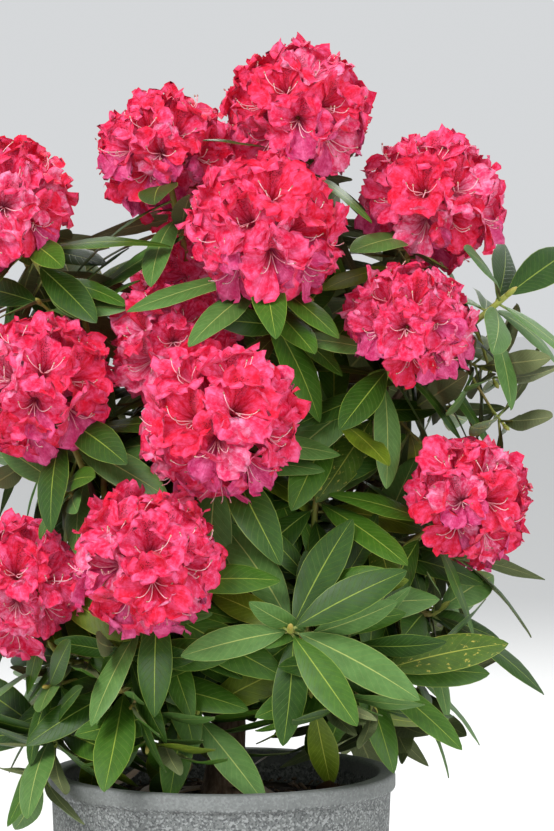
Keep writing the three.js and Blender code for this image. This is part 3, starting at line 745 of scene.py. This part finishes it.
class Garden:
    """What a new leaf has to keep clear of."""

    def __init__(self):
        rods = []
        for path, thickness in limbs:
            rods += [(a, b, radius, -1) for a, b, radius in zip(path, path[1:], thickness)]
        for index, head in enumerate(heads):
            pairs = zip(head.path[::2], head.path[2::2])
            rods += [(a, b, TWIG.start_radius, index) for a, b in pairs]
        starts, ends, radii, owners = zip(*rods)
        self.starts = np.array(starts)
        self.ways = np.array(ends) - self.starts
        self.radii = np.array(radii)
        self.owners = np.array(owners)
        self.bloom_owners = [index for index, head in enumerate(heads) if head.radius > 0]
        self.bloom_centres = np.array([heads[index].place for index in self.bloom_owners])
        self.leaf_samples = []
        self.leaf_surfaces = []
        self.leaf_middles = np.zeros((0, 3))

    def clear_of_pot(self, points):
        room = ROOM.pot
        radius = np.hypot(points[:, 0], points[:, 1])
        above = points[:, 2] > POT.height + room
        outside = (radius > POT.bead_radius + room) & (points[:, 2] > room)
        inside = (points[:, 2] > SOIL.top + room) & (radius < POT.rim_radius - POT.wall - room)
        return bool(np.all(above | outside | inside))

    def clear_of_blooms(self, points, owner):
        """Points keep out of every bloom, but may reach under the owner's own."""
        arms = points[:, None] - self.bloom_centres[None]
        distances = np.linalg.norm(arms, axis=2)
        for column, index in enumerate(self.bloom_owners):
            head = heads[index]
            near = distances[:, column] <= head.radius + ROOM.bloom
            if not near.any():
                continue
            if index != owner:
                return False
            height = arms[near, column] @ np.array(head.axis)
            under = height < distances[near, column] * cos(BLOOM_SKIRT_ANGLE)
            if not np.all(under & (distances[near, column] > BLOOM_UNDER * head.radius)):
                return False
        return True

    def clear_of_limbs(self, points, owner):
        others = self.owners != owner
        starts, ways, radii = self.starts[others], self.ways[others], self.radii[others]
        arms = points[:, None] - starts[None]
        shares = np.clip((arms * ways).sum(2) / (ways * ways).sum(1), 0, 1)
        gaps = np.linalg.norm(arms - ways * shares[..., None], axis=2)
        return bool(np.all(gaps > radii + ROOM.limb))

    def neighbours(self, middle, share):
        distances = np.linalg.norm(self.leaf_middles - middle, axis=1)
        return np.nonzero(distances < share * LEAF.length)[0]

    def crowded(self, points, middle, room):
        for index in self.neighbours(middle, NEAR.room):
            gaps = points[:, None] - self.leaf_samples[index][None]
            if (gaps * gaps).sum(2).min() < room * room:
                return True
        return False

    def crosses(self, surface, middle):
        near = self.neighbours(middle, NEAR.crossing)
        return any(surface.overlap(self.leaf_surfaces[index]) for index in near)

    def fits(self, leaf, owner, room):
        """Whether a leaf keeps this room to the others, or with no room given, crosses none of them."""
        points = np.array(leaf.rows(SAMPLE_SHARES, plain_half))
        if not self.clear_of_pot(points) or not self.clear_of_blooms(points, owner):
            return False
        if not self.clear_of_limbs(points, owner):
            return False
        faces = grid_faces(len(SURFACE_SHARES), 3)
        surface = BVHTree.FromPolygons(leaf.rows(SURFACE_SHARES, blade_half), faces)
        middle = points[len(points) // 2]
        if room is None and self.crosses(surface, middle):
            return False
        if room is not None and self.crowded(points, middle, room):
            return False
        self.leaf_surfaces.append(surface)
        self.leaf_samples.append(points)
        self.leaf_middles = np.vstack([self.leaf_middles, middle])
        return True


def shoot_leaves(path, axis, owner, kind, first_seed=0, room=None):
    """Leaves round a shoot. One that doesn't fit is turned, then swung and shortened."""
    random = seeded(owner + kind.seed + first_seed)
    side = sideways(axis)
    up = axis.cross(side)
    laid = []
    for i in range(kind.leaves):
        share = i / (kind.leaves - 1)
        bearing = i * GOLDEN_ANGLE + random() * LEAF.turn
        tilt = lerp(*kind.tilt, share * 0.7 + random() * 0.3)
        length = (LEAF.length + (random() - 0.5) * 2 * LEAF.spread) * kind.size
        base = point_back(path, lerp(*kind.below, share))
        droop = LEAF.droop + random() * LEAF.droop_spread
        sweep = (random() - 0.5) * LEAF.sweep
        for attempt in range(REFIT.tries):
            turn = bearing + REFIT.turns[attempt % 3]
            step = attempt // 3
            swing = ceil(step / 2) * REFIT.swing * (1 if step % 2 else -1)
            angle = radians(min(max(tilt + swing, REFIT.limits[0]), REFIT.limits[1]))
            spoke = around(side, up, turn)
            direction = axis * cos(angle) + spoke * sin(angle)
            normal = axis * sin(angle) - spoke * cos(angle)
            leaf = Leaf(base, direction, normal, length * (1 - REFIT.shorter * step), droop, sweep)
            if garden.fits(leaf, owner, room):
                laid.append(leaf)
                break
    return laid


def side_shoot(head, index, kind):
    """A finer twig that leaves a head's twig half-way and carries a small whorl of its own."""
    random = seeded(index + kind.seed)
    start = point_back(head.path, kind.back + random() * SHOOT.back_spread)
    outward = start - Vector((*CROWN.centre[:2], start.z))
    lift = Vector((random() - 0.5, random() - 0.5, kind.lift + random() * SHOOT.lift_spread))
    direction = (outward.normalized() + lift).normalized()
    end = start + direction * (kind.reach + random() * SHOOT.reach_spread)
    return curve(start, head.axis, end, direction, SHOOT.steps), direction


garden = Garden()
leaves = []
for index, head in enumerate(heads):
    kind = COLLAR if head.radius > 0 else WHORL
    leaves.extend(shoot_leaves(head.path, head.axis, index, kind, room=ROOM.leaf))
for index, head in enumerate(heads):
    leaves.extend(shoot_leaves(head.path, head.axis, index, OLDER))

side_shoots = []
for kind in SIDE_SHOOTS:
    for index, head in enumerate(heads):
        if head.radius > 0 and not kind.under_blooms:
            continue
        path, direction = side_shoot(head, index, kind)
        tests = np.array([point_back(path, back) for back in SHOOT_TESTS])
        if not garden.clear_of_blooms(tests, -2) or not garden.clear_of_pot(tests):
            continue
        whorl = shoot_leaves(path, direction, index, SIDE_WHORL, kind.seed)
        if len(whorl) > 1:
            side_shoots.append((path, direction))
            leaves.extend(whorl)


# Leaf blades, their undersides and stalks
BLADE_ROWS = np.array([0.0, 0.06, 0.15, 0.26, 0.38, 0.50, 0.61, 0.72, 0.82, 0.91, 0.97, 1.0])
BLADE_COLUMNS = np.array([-1.0, -0.55, 0.0, 0.55, 1.0])
STALK = Sizes(radii=(0.0016, 0.0008), lowered=0.00128, sides=6, steps=4, into_blade=0.22)


def blade(leaf, phase, lowered):
    """Corners of a leaf blade, or of its underside where it is lowered between the edges."""
    points = []
    for row in BLADE_ROWS:
        share = lerp(BLADE.start, BLADE.end, row)
        centre = leaf.spine(share)
        up = (leaf.normal + leaf.direction * (2 * leaf.droop * share)).normalized()
        half = half_width(row) * leaf.width * 0.5 + 0.0004
        for column in BLADE_COLUMNS:
            out = abs(column)
            rise = BLADE.fold * out - BLADE.roll * out**3
            rise += BLADE.wave * out * sin(9.0 * row + phase + 1.7 * column)
            inner = lowered * (1 - out) if out < 1 else 0.0
            points.append(centre + leaf.side * (half * column) + up * (half * rise - inner))
    return points


# Leaf tints: the share of leaves, and their green, shade and vein
LEAF_TINTS = {
    "leaves_dark": (0.29, (0.028, 0.086, 0.005), (0.012, 0.044, 0.002), (0.26, 0.36, 0.05)),
    "leaves_deep": (0.28, (0.056, 0.150, 0.010), (0.026, 0.084, 0.004), (0.32, 0.42, 0.06)),
    "leaves_mid_green": (0.28, (0.104, 0.226, 0.050), (0.058, 0.138, 0.024), (0.42, 0.50, 0.14)),
    "leaves_olive": (0.09, (0.130, 0.196, 0.010), (0.072, 0.118, 0.006), (0.42, 0.46, 0.06)),
    "leaves_bronze": (0.02, (0.135, 0.105, 0.018), (0.075, 0.066, 0.012), (0.38, 0.32, 0.08)),
    "leaves_blotched": (0.04, (0.070, 0.140, 0.010), (0.034, 0.076, 0.006), (0.40, 0.44, 0.07)),
}
DRY_TINT = ((0.30, 0.17, 0.075), (0.18, 0.095, 0.045), (0.42, 0.30, 0.17))
GLOSS = Sizes(leaf=0.10, bronze=0.04, dry=0.0)
BLOTCHES = 0.85


def pick(table, draw):
    left = draw
    for name, entry in table.items():
        left -= entry[0]
        if left <= 0:
            return name
    return name


def make_leaves():
    heaps = {name: Heap() for name in LEAF_TINTS}
    undersides, stalks = Heap(), Heap()
    upper = grid_faces(len(BLADE_ROWS), len(BLADE_COLUMNS))
    lower = grid_faces(len(BLADE_ROWS), len(BLADE_COLUMNS), flip=True)
    places = own_places(BLADE_ROWS, BLADE_COLUMNS)
    random = seeded(5)
    for leaf in leaves:
        phase = random() * FULL_PHASE
        tint = pick(LEAF_TINTS, random())
        heaps[tint].add(blade(leaf, phase, 0.0), upper, places)
        undersides.add(blade(leaf, phase, BLADE.thickness), lower, places)
        path = [leaf.spine(STALK.into_blade * i / STALK.steps) for i in range(STALK.steps + 1)]
        stalks.add_tapered([point - leaf.normal * STALK.lowered for point in path], STALK)
    for name, heap in heaps.items():
        gloss = GLOSS.bronze if name == "leaves_bronze" else GLOSS.leaf
        tan = BLOTCHES if name == "leaves_blotched" else 0.0
        heap.make(name, leaf_finish(name + "_leather", LEAF_TINTS[name][1:], gloss, tan), crown_nodes)
    undersides.make("leaf_undersides", underside_finish())
    stalks.make("leaf_stalks", green_wood("leaf_stalk_green"))


# Blossom: funnel-shaped flowers of five ruffled petals, with stamens, on stalks from the head's centre
FLOWERS = Sizes(count=21, lowest=-0.60, wobble=0.3, size=0.94, size_spread=0.14, roll=0.7)
LOBES = Sizes(count=5, turn_spread=0.24, size_spread=0.16, rounding=0.04)
TINT_SPREAD = Sizes(flower=0.80, head=0.08, petal=0.12)
# Painted shade: in a flower whose axis points lower than this, these lobes take the darker mauve tint
# this often
SHADED = Sizes(below=0.1, lobes=(2, 3), mauve_share=0.45)
FLOWER_STALK = Sizes(foot=0.22, top=0.36, radii=(0.0011, 0.0015), steps=5, sides=5)
PETAL_ROWS = np.array([0.0, 0.18, 0.36, 0.52, 0.68, 0.82, 0.93, 1.0])
PETAL_OUT = np.array([0.03, 0.07, 0.125, 0.205, 0.305, 0.405, 0.475, 0.51])
PETAL_ALONG = np.array([0.40, 0.58, 0.73, 0.84, 0.905, 0.94, 0.95, 0.945])
PETAL_HALF = np.radians([40, 40, 40, 42, 43, 40, 31, 15])
PETAL_COLUMNS = np.linspace(-1, 1, 9)
RUFFLE = Sizes(height=0.052, frill=0.055, curl=0.22, inward_share=0.45, twist=0.16, groove=0.034)
STAMEN = Sizes(count=4, radii=(0.00060, 0.00042), sides=4, steps=8, fan=2.0, fan_spread=0.5)
STAMEN_REACH = Sizes(foot=0.55, length=(0.84, 0.24), lift=(0.10, 0.16), aside=(0.01, 0.27))
ANTHER = Sizes(length=0.0030, width=0.00182, sides=4)

# Petal tints: the share of petals, and their throat, body and paler patches, the pale partly the
# petals' own tone and partly painted sheen highlight
PETAL_TINTS = {
    "petals_rose": (0.45, (0.48, 0.003, 0.024), (0.74, 0.006, 0.060), (0.90, 0.130, 0.310)),
    "petals_deep": (0.25, (0.42, 0.002, 0.014), (0.71, 0.003, 0.032), (0.87, 0.070, 0.195)),
    "petals_light": (0.30, (0.52, 0.006, 0.046), (0.77, 0.020, 0.115), (0.93, 0.300, 0.500)),
    # petals_mauve has no share of its own: it is the darker copy used as painted shade on lower lobes
    "petals_mauve": (0.0, (0.38, 0.005, 0.052), (0.54, 0.020, 0.125), (0.78, 0.130, 0.320)),
}


class Flower:
    """One flower of a head: where it faces, its own up and right, and its size."""

    def __init__(self, head, axis, random):
        self.centre = head.place
        self.axis = axis
        world_up = UP if abs(axis.z) < 0.97 else head.axis
        up = (world_up - axis * world_up.dot(axis)).normalized()
        self.up = Quaternion(axis, (random() - 0.5) * FLOWERS.roll) @ up
        self.right = axis.cross(self.up)
        self.size = head.radius * (FLOWERS.size + (random() - 0.5) * FLOWERS.size_spread)

    def spot(self, forward, spoke, reach):
        """A point this far forward and out, in parts of the flower's size."""
        return self.centre + self.axis * (forward * self.size) + spoke * (reach * self.size)


def petal(flower, angle, random):
    """Corners of one lobe of a flower, from its throat out to its frilled rim."""
    swell = 1 + (random() - 0.5) * LOBES.size_spread
    first, second, third = (random() * FULL_PHASE for _ in range(3))
    curl = RUFFLE.curl * (random() - RUFFLE.inward_share)
    twist = RUFFLE.twist * (random() - 0.5)
    points = []
    for row, out, along, half in zip(PETAL_ROWS, PETAL_OUT, PETAL_ALONG, PETAL_HALF):
        for column in PETAL_COLUMNS:
            turn = angle + column * half
            wave = sin(column * 3.6 + first) + 0.75 * sin(column * 8.0 + second)
            rise = RUFFLE.height * row**2.4 * wave + twist * column * row**2
            rise -= curl * row**3 + RUFFLE.groove * (1 - abs(column)) * row
            frill = RUFFLE.frill * row**3 * sin(column * 7.0 + third)
            reach = out * swell * (1 - LOBES.rounding * row * column**2 + frill)
            spoke = around(flower.up, flower.right, turn)
            points.append(flower.spot(along + rise, spoke, reach))
    return points


def stamen_path(flower, bearing, length, lift):
    """A filament that leaves the throat, lies towards the lower petals and turns up at its tip."""
    across = flower.right * sin(bearing) - flower.up * cos(bearing)
    path = []
    for i in range(STAMEN.steps + 1):
        share = i / STAMEN.steps
        forward = lerp(STAMEN_REACH.foot, length, share**0.7)
        aside = STAMEN_REACH.aside[0] + STAMEN_REACH.aside[1] * share**1.3
        path.append(flower.spot(forward, across, aside) + flower.up * (flower.size * (lift * share**4)))
    return path


def bead(heap, centre, direction, kind):
    """A small ovoid: an anther or a bud."""
    path = [centre + direction * (kind.length * t) for t in (-0.5, -0.3, 0.0, 0.3, 0.5)]
    radii = [kind.width * r for r in (0.12, 0.40, 0.5, 0.38, 0.10)]
    heap.add(*tube(path, radii, kind.sides))


def add_petals(plain, freckled, flower, flower_tint, random):
    """Five lobes, the upper one freckled, the lower ones of a low flower often given the darker mauve
    tint as painted shade.
    """
    faces = grid_faces(len(PETAL_ROWS), len(PETAL_COLUMNS), flip=True)
    for lobe in range(LOBES.count):
        angle = lobe * 2 * pi / LOBES.count + (random() - 0.5) * LOBES.turn_spread
        shape = petal(flower, angle, random)
        tint = pick(PETAL_TINTS, flower_tint + random() * TINT_SPREAD.petal)
        # Lower lobes of a flower that faces down often get the mauve tint, painted shade.
        shaded = flower.axis.z < SHADED.below and lobe in SHADED.lobes
        if shaded and random() < SHADED.mauve_share:
            tint = "petals_mauve"
        heap = plain[tint] if lobe else freckled[tint]
        heap.add(shape, faces, own_places(PETAL_ROWS, PETAL_COLUMNS))


def add_stamens(filaments, anthers, flower, random):
    for k in range(STAMEN.count):
        bearing = (k / (STAMEN.count - 1) - 0.5) * STAMEN.fan
        bearing += (random() - 0.5) * STAMEN.fan_spread
        length = STAMEN_REACH.length[0] + random() * STAMEN_REACH.length[1]
        lift = STAMEN_REACH.lift[0] + random() * STAMEN_REACH.lift[1]
        path = stamen_path(flower, bearing, length, lift)
        filaments.add_tapered(path, STAMEN)
        bead(anthers, path[-1], (path[-1] - path[-2]).normalized(), ANTHER)


def make_blossom():
    heaps = {name: Heap() for name in PETAL_TINTS}
    freckled = {name: Heap() for name in PETAL_TINTS}
    filaments, anthers, stalks = Heap(), Heap(), Heap()
    for index, head in enumerate(heads):
        if head.radius == 0:
            continue
        random = seeded(index + 51)
        turn = UP.rotation_difference(head.axis)
        head_tint = random()
        foot = head.place - head.axis * (head.radius * FLOWER_STALK.foot)
        for i in range(FLOWERS.count):
            height = 1 - ((i + 0.5) / FLOWERS.count) * (1 - FLOWERS.lowest)
            angle = index * GOLDEN_ANGLE + i * GOLDEN_ANGLE + random() * FLOWERS.wobble
            ring = sqrt(1 - height * height)
            axis = turn @ Vector((ring * cos(angle), ring * sin(angle), height))
            flower = Flower(head, axis, random)
            flower_tint = random() * TINT_SPREAD.flower + head_tint * TINT_SPREAD.head
            add_petals(heaps, freckled, flower, flower_tint, random)
            add_stamens(filaments, anthers, flower, random)
            base = head.place + axis * (flower.size * FLOWER_STALK.top)
            stalks.add_tapered(curve(foot, axis, base, axis, FLOWER_STALK.steps), FLOWER_STALK)
    for name, (_, *tint) in PETAL_TINTS.items():
        heaps[name].make(name, petal_finish(name + "_plain", tint, freckled=False), crown_nodes)
        if freckled[name].faces:
            freckled[name].make(name + "_upper", petal_finish(name + "_freckled", tint, freckled=True))
    filaments.make("stamens", thread_finish("stamen_thread", (0.95, 0.66, 0.70), (0.92, 0.44, 0.52)))
    anthers.make("anthers", thread_finish("anther_brown", (0.36, 0.13, 0.10), (0.62, 0.42, 0.32)))
    stalks.make("flower_stalks", green_wood("flower_stalk_green"))




# Wood: bark with relief on the old limbs, smooth green wood towards the heads
BUD = Sizes(length=0.019, width=0.0064, ahead=0.005, sides=8)
SIDE_BUD = Sizes(length=0.010, width=0.0052, ahead=0.002, sides=6)


def refined(path, radii, step):
    """The same path with points closer together, and its radii to match."""
    points, thickness = [path[0]], [radii[0]]
    for a, b, low, high in zip(path, path[1:], radii, radii[1:]):
        count = max(1, round((b - a).length / step))
        for i in range(1, count + 1):
            points.append(a.lerp(b, i / count))
            thickness.append(lerp(low, high, i / count))
    return points, thickness


def bark_limb(heap, path, radii, step, sides):
    """A limb with closer rings, its corners moved in or out by flakes and long ridges."""
    points, faces = tube(*refined(path, radii, step), sides)
    out = []
    for ring in range(len(points) // sides):
        own = points[ring * sides : (ring + 1) * sides]
        centre = sum(own, Vector()) / sides
        for corner in own:
            spoke = corner - centre
            stretched = Vector([a * scale for a, scale in zip(corner, RELIEF.ridges)])
            lift = RELIEF.ridge * noise.noise(stretched)
            lift += RELIEF.flake * noise.noise(corner * RELIEF.flakes)
            out.append(corner + spoke.normalized() * lift * min(1.0, spoke.length / RELIEF.full_from))
    heap.add(out, faces)


def add_bud(heap, place, direction, bud):
    bead(heap, place + direction * bud.ahead, direction, bud)


def make_wood():
    wood = Heap()
    for number, (path, radii) in enumerate(limbs):
        if number:
            direction = (path[1] - path[0]).normalized()
            path = [path[0] - direction * LIMB.sunk, *path]
            radii = [radii[0], *radii]
        bark_limb(wood, path, radii, LIMB.step, LIMB.sides)
    for start, direction in stems.values():
        path = [start - direction * STEM.sunk, start, start + direction * STEM.length]
        radii = [BRANCH.end_radius, STEM.radius, STEM.radius * 0.8]
        bark_limb(wood, path, radii, STEM.step, STEM.sides)
    old = bark()
    wood.make("trunk_and_boughs_bark", old, limb_nodes, "bark")
    brown, green, buds = Heap(), Heap(), Heap()
    for head in heads:
        radii = taper(TWIG.start_radius, TWIG.end_radius, len(head.path))
        half = len(head.path) // 2
        brown.add(*tube(head.path[: half + 1], radii[: half + 1], TWIG.sides))
        green.add(*tube(head.path[half:], radii[half:], TWIG.sides))
        if head.radius == 0:
            add_bud(buds, head.place, head.axis, BUD)
    for path, direction in side_shoots:
        green.add_tapered(path, SHOOT)
        add_bud(buds, path[-1], direction, SIDE_BUD)
    brown.make("twigs_brown", old, crown_nodes, "bark")
    green.make("twigs_green", green_wood("young_shoot_green"))
    buds.make("leaf_buds", green_wood("bud_yellow_green"))


# Planter and soil
CHIPS = Sizes(
    count=260,
    lift=(0.001, 0.003),
    sizes=((0.004, 0.010), (0.002, 0.004), (0.0008, 0.0016)),
    pinch=0.3,
    bare_middle=0.06,
    from_wall=0.012,
)
CHIP_CORNERS = [(x, y, z) for z in (-1, 1) for x, y in ((-1, -1), (1, -1), (1, 1), (-1, 1))]
CHIP_FACES = [[0, 3, 2, 1], [4, 5, 6, 7], [0, 1, 5, 4], [1, 2, 6, 5], [2, 3, 7, 6], [3, 0, 4, 7]]
DRY_LEAVES = Sizes(count=11, reach=(0.35, 0.5), lift=0.006, length=(0.055, 0.03))
DRY_CURL = Sizes(droop=-0.10, sweep=0.1, rise=0.05, inward=0.9, tilt=0.7)
LUMPS = {"clods": (0.030, 2), "crumbs": (0.008, 1)}


def turned(name, profile, sides):
    """A wall turned about Z: a disc extruded from one (radius, height) to the next."""
    bpy.ops.object.select_all(action="DESELECT")
    radius, height = profile[0]
    place = (0, 0, height)
    bpy.ops.mesh.primitive_circle_add(vertices=sides, radius=radius, fill_type="NGON", location=place)
    piece = bpy.context.object
    piece.name = name
    bpy.ops.object.mode_set(mode="EDIT")
    bpy.ops.mesh.select_all(action="SELECT")
    for next_radius, next_height in profile[1:]:
        rise = (0, 0, next_height - height)
        bpy.ops.mesh.extrude_region_move(TRANSFORM_OT_translate={"value": rise})
        scale = next_radius / radius
        bpy.ops.transform.resize(value=(scale, scale, 1), center_override=(0, 0, next_height))
        radius, height = next_radius, next_height
    bpy.ops.mesh.select_all(action="SELECT")
    bpy.ops.mesh.normals_make_consistent(inside=False)
    bpy.ops.object.mode_set(mode="OBJECT")
    bpy.ops.object.transform_apply(location=True, rotation=True, scale=True)
    bpy.ops.object.shade_smooth_by_angle(angle=radians(35))
    return piece


def on_soil(radius, angle, lift):
    return Vector((radius * cos(angle), radius * sin(angle), SOIL.top + lift))


def arc(centre_radius, centre_height, size, start_degrees, end_degrees):
    points = []
    for i in range(BEAD.arc_steps + 1):
        angle = radians(lerp(start_degrees, end_degrees, i / BEAD.arc_steps))
        points.append((centre_radius + size * cos(angle), centre_height + size * sin(angle)))
    return points


def wall_radius(height):
    return lerp(POT.foot_radius, POT.rim_radius, height / POT.height)


def make_planter():
    size = BEAD.round
    bead_foot = POT.height - BEAD.height
    inner = POT.rim_radius - POT.wall
    profile = arc(POT.foot_radius - size, size, size, -90, 0)
    for share in (0.25, 0.5, 0.75, 1.0):
        height = lerp(size, bead_foot - size, share)
        profile.append((wall_radius(height), height))
    profile += arc(POT.bead_radius - size, bead_foot + size * 0.4, size, -60, 0)
    profile += arc(POT.bead_radius - size, POT.height - size, size, 0, 90)
    profile += arc(inner + size, POT.height - size, size, 90, 180)
    profile.append((inner - WALL_END.inward, SOIL.top - WALL_END.below_soil))
    piece = turned("planter_wall", profile, POT.sides)
    settle(piece, granite(), ["planter"])


def roughen(piece, name, size, strength):
    """Lumps of one size on a piece's top."""
    texture = bpy.data.textures.new(name, "CLOUDS")
    texture.noise_scale = size
    lumps = piece.modifiers.new(name, "DISPLACE")
    lumps.texture = texture
    lumps.texture_coords = "LOCAL"
    lumps.direction = "Z"
    lumps.strength = strength
    lumps.vertex_group = "top"
    bpy.ops.object.modifier_apply(modifier=name)


def make_soil():
    """Soil with a rough top, higher round the trunk and lower by the wall."""
    radius = wall_radius(SOIL.top) - POT.wall - SOIL.gap + SOIL.under_wall
    profile = [(radius, SOIL.top - SOIL.side)]
    for ring in range(SOIL.rings):
        share = 1 - ring / SOIL.rings
        profile.append((radius * share, SOIL.top - SOIL.dome * share**3))
    piece = turned("potting_soil_top", profile, SOIL.sides)
    top = piece.vertex_groups.new(name="top")
    inside = [corner.index for corner in piece.data.vertices if hypot(*corner.co.xy) < radius * 0.99]
    top.add(inside, 1.0, "REPLACE")
    for name, (size, times) in LUMPS.items():
        roughen(piece, name, size, SOIL.relief * times)
    settle(piece, earth(), ["potting_soil"])


def make_chips(random, reach):
    chips = Heap()
    for _ in range(CHIPS.count):
        radius = reach * sqrt(lerp(CHIPS.bare_middle, 1, random()))
        angle = random() * 2 * pi
        spot = on_soil(radius, angle, CHIPS.lift[0] + random() * CHIPS.lift[1])
        turn = Quaternion((random() - 0.5, random() - 0.5, 1.0 + random()), random() * FULL_PHASE)
        length, width, height = (least + random() * more for least, more in CHIPS.sizes)
        corners = []
        for x, y, z in CHIP_CORNERS:
            pinch = 1 - CHIPS.pinch + random() * CHIPS.pinch
            corner = Vector((x * length * pinch / 2, y * width * pinch / 2, z * height / 2))
            corners.append(spot + turn @ corner)
        chips.add(corners, CHIP_FACES)
    chips.make("bark_chips", bark(), slot="bark")


def make_dry_leaves(random, reach):
    dry = Heap()
    faces = grid_faces(len(BLADE_ROWS), len(BLADE_COLUMNS))
    for _ in range(DRY_LEAVES.count):
        radius = reach * (DRY_LEAVES.reach[0] + DRY_LEAVES.reach[1] * random())
        base = on_soil(radius, random() * 2 * pi, DRY_LEAVES.lift)
        heading = random() * 2 * pi
        direction = Vector((cos(heading), sin(heading), DRY_CURL.rise))
        inward = -Vector((base.x, base.y, 0)).normalized()
        direction = (direction + inward * DRY_CURL.inward).normalized()
        normal = UP + Vector((random() - 0.5, random() - 0.5, 0)) * DRY_CURL.tilt
        normal.normalize()
        normal = (normal - direction * normal.dot(direction)).normalized()
        length = DRY_LEAVES.length[0] + random() * DRY_LEAVES.length[1]
        leaf = Leaf(base, direction, normal, length, DRY_CURL.droop, DRY_CURL.sweep)
        dry.add(blade(leaf, random() * FULL_PHASE, 0.0), faces, own_places(BLADE_ROWS, BLADE_COLUMNS))
    dry.make("dry_leaves", leaf_finish("dry_leaf_brown", DRY_TINT, GLOSS.dry))


def make_litter():
    """Chips of bark and a few dry curled leaves on the soil."""
    random = seeded(91)
    reach = POT.rim_radius - POT.wall - CHIPS.from_wall
    make_chips(random, reach)
    make_dry_leaves(random, reach)


# Studio: a wide pale floor, soft light from all round and a camera at the photo's angle
FLOOR = Sizes(radius=30, sides=96, colour=(0.80, 0.80, 0.79), roughness=0.9)
AIR = Sizes(colour=(0.93, 0.95, 0.97, 1), strength=0.72)
LAMPS = {
    "key": ((-1.6, -2.4, 3.0), 1.8, 112),
    "fill": ((2.4, -2.0, 1.6), 2.4, 35),
    "back": ((0.6, 2.6, 2.6), 2.0, 60),
}
LAMPS_AIM = (0, 0, 0.55)


def make_studio():
    bpy.ops.object.select_all(action="DESELECT")
    bpy.ops.mesh.primitive_circle_add(vertices=FLOOR.sides, radius=FLOOR.radius, fill_type="NGON")
    floor = bpy.context.object
    floor.name = "studio_floor"
    finish = Finish("studio_floor_pale", specular_ior_level=0.1)
    floor.data.materials.append(finish.done(FLOOR.colour, FLOOR.roughness))
    world = bpy.data.worlds.new("studio_air")
    world.use_nodes = True
    background = world.node_tree.nodes["Background"]
    background.inputs["Color"].default_value = AIR.colour
    background.inputs["Strength"].default_value = AIR.strength
    bpy.context.scene.world = world
    for name, (place, size, power) in LAMPS.items():
        light = bpy.data.lights.new(name, "AREA")
        light.shape = "DISK"
        light.size = size
        light.energy = power
        aimed(name, light, Vector(place), Vector(LAMPS_AIM) - Vector(place))


def aimed(name, data, place, direction):
    """A lamp or camera at a place, facing a direction."""
    made = bpy.data.objects.new(name, data)
    made.location = place
    made.rotation_mode = "QUATERNION"
    made.rotation_quaternion = direction.to_track_quat("-Z", "Y")
    bpy.context.scene.collection.objects.link(made)
    return made


def make_camera():
    down = radians(CAMERA.down_degrees)
    back = Vector((0, -cos(down), sin(down)))
    data = bpy.data.cameras.new("camera")
    data.sensor_width = CAMERA.sensor
    data.lens = CAMERA.sensor * CAMERA.distance / (PHOTO.height * MM)
    middle = from_photo(PHOTO.width / 2, PHOTO.height / 2, 0)
    bpy.context.scene.camera = aimed("camera", data, middle + back * CAMERA.distance, -back)


make_camera()
make_planter()
make_soil()
make_litter()
make_wood()
make_leaves()
make_blossom()
make_studio()
bpy.context.scene.view_settings.view_transform = "Standard"
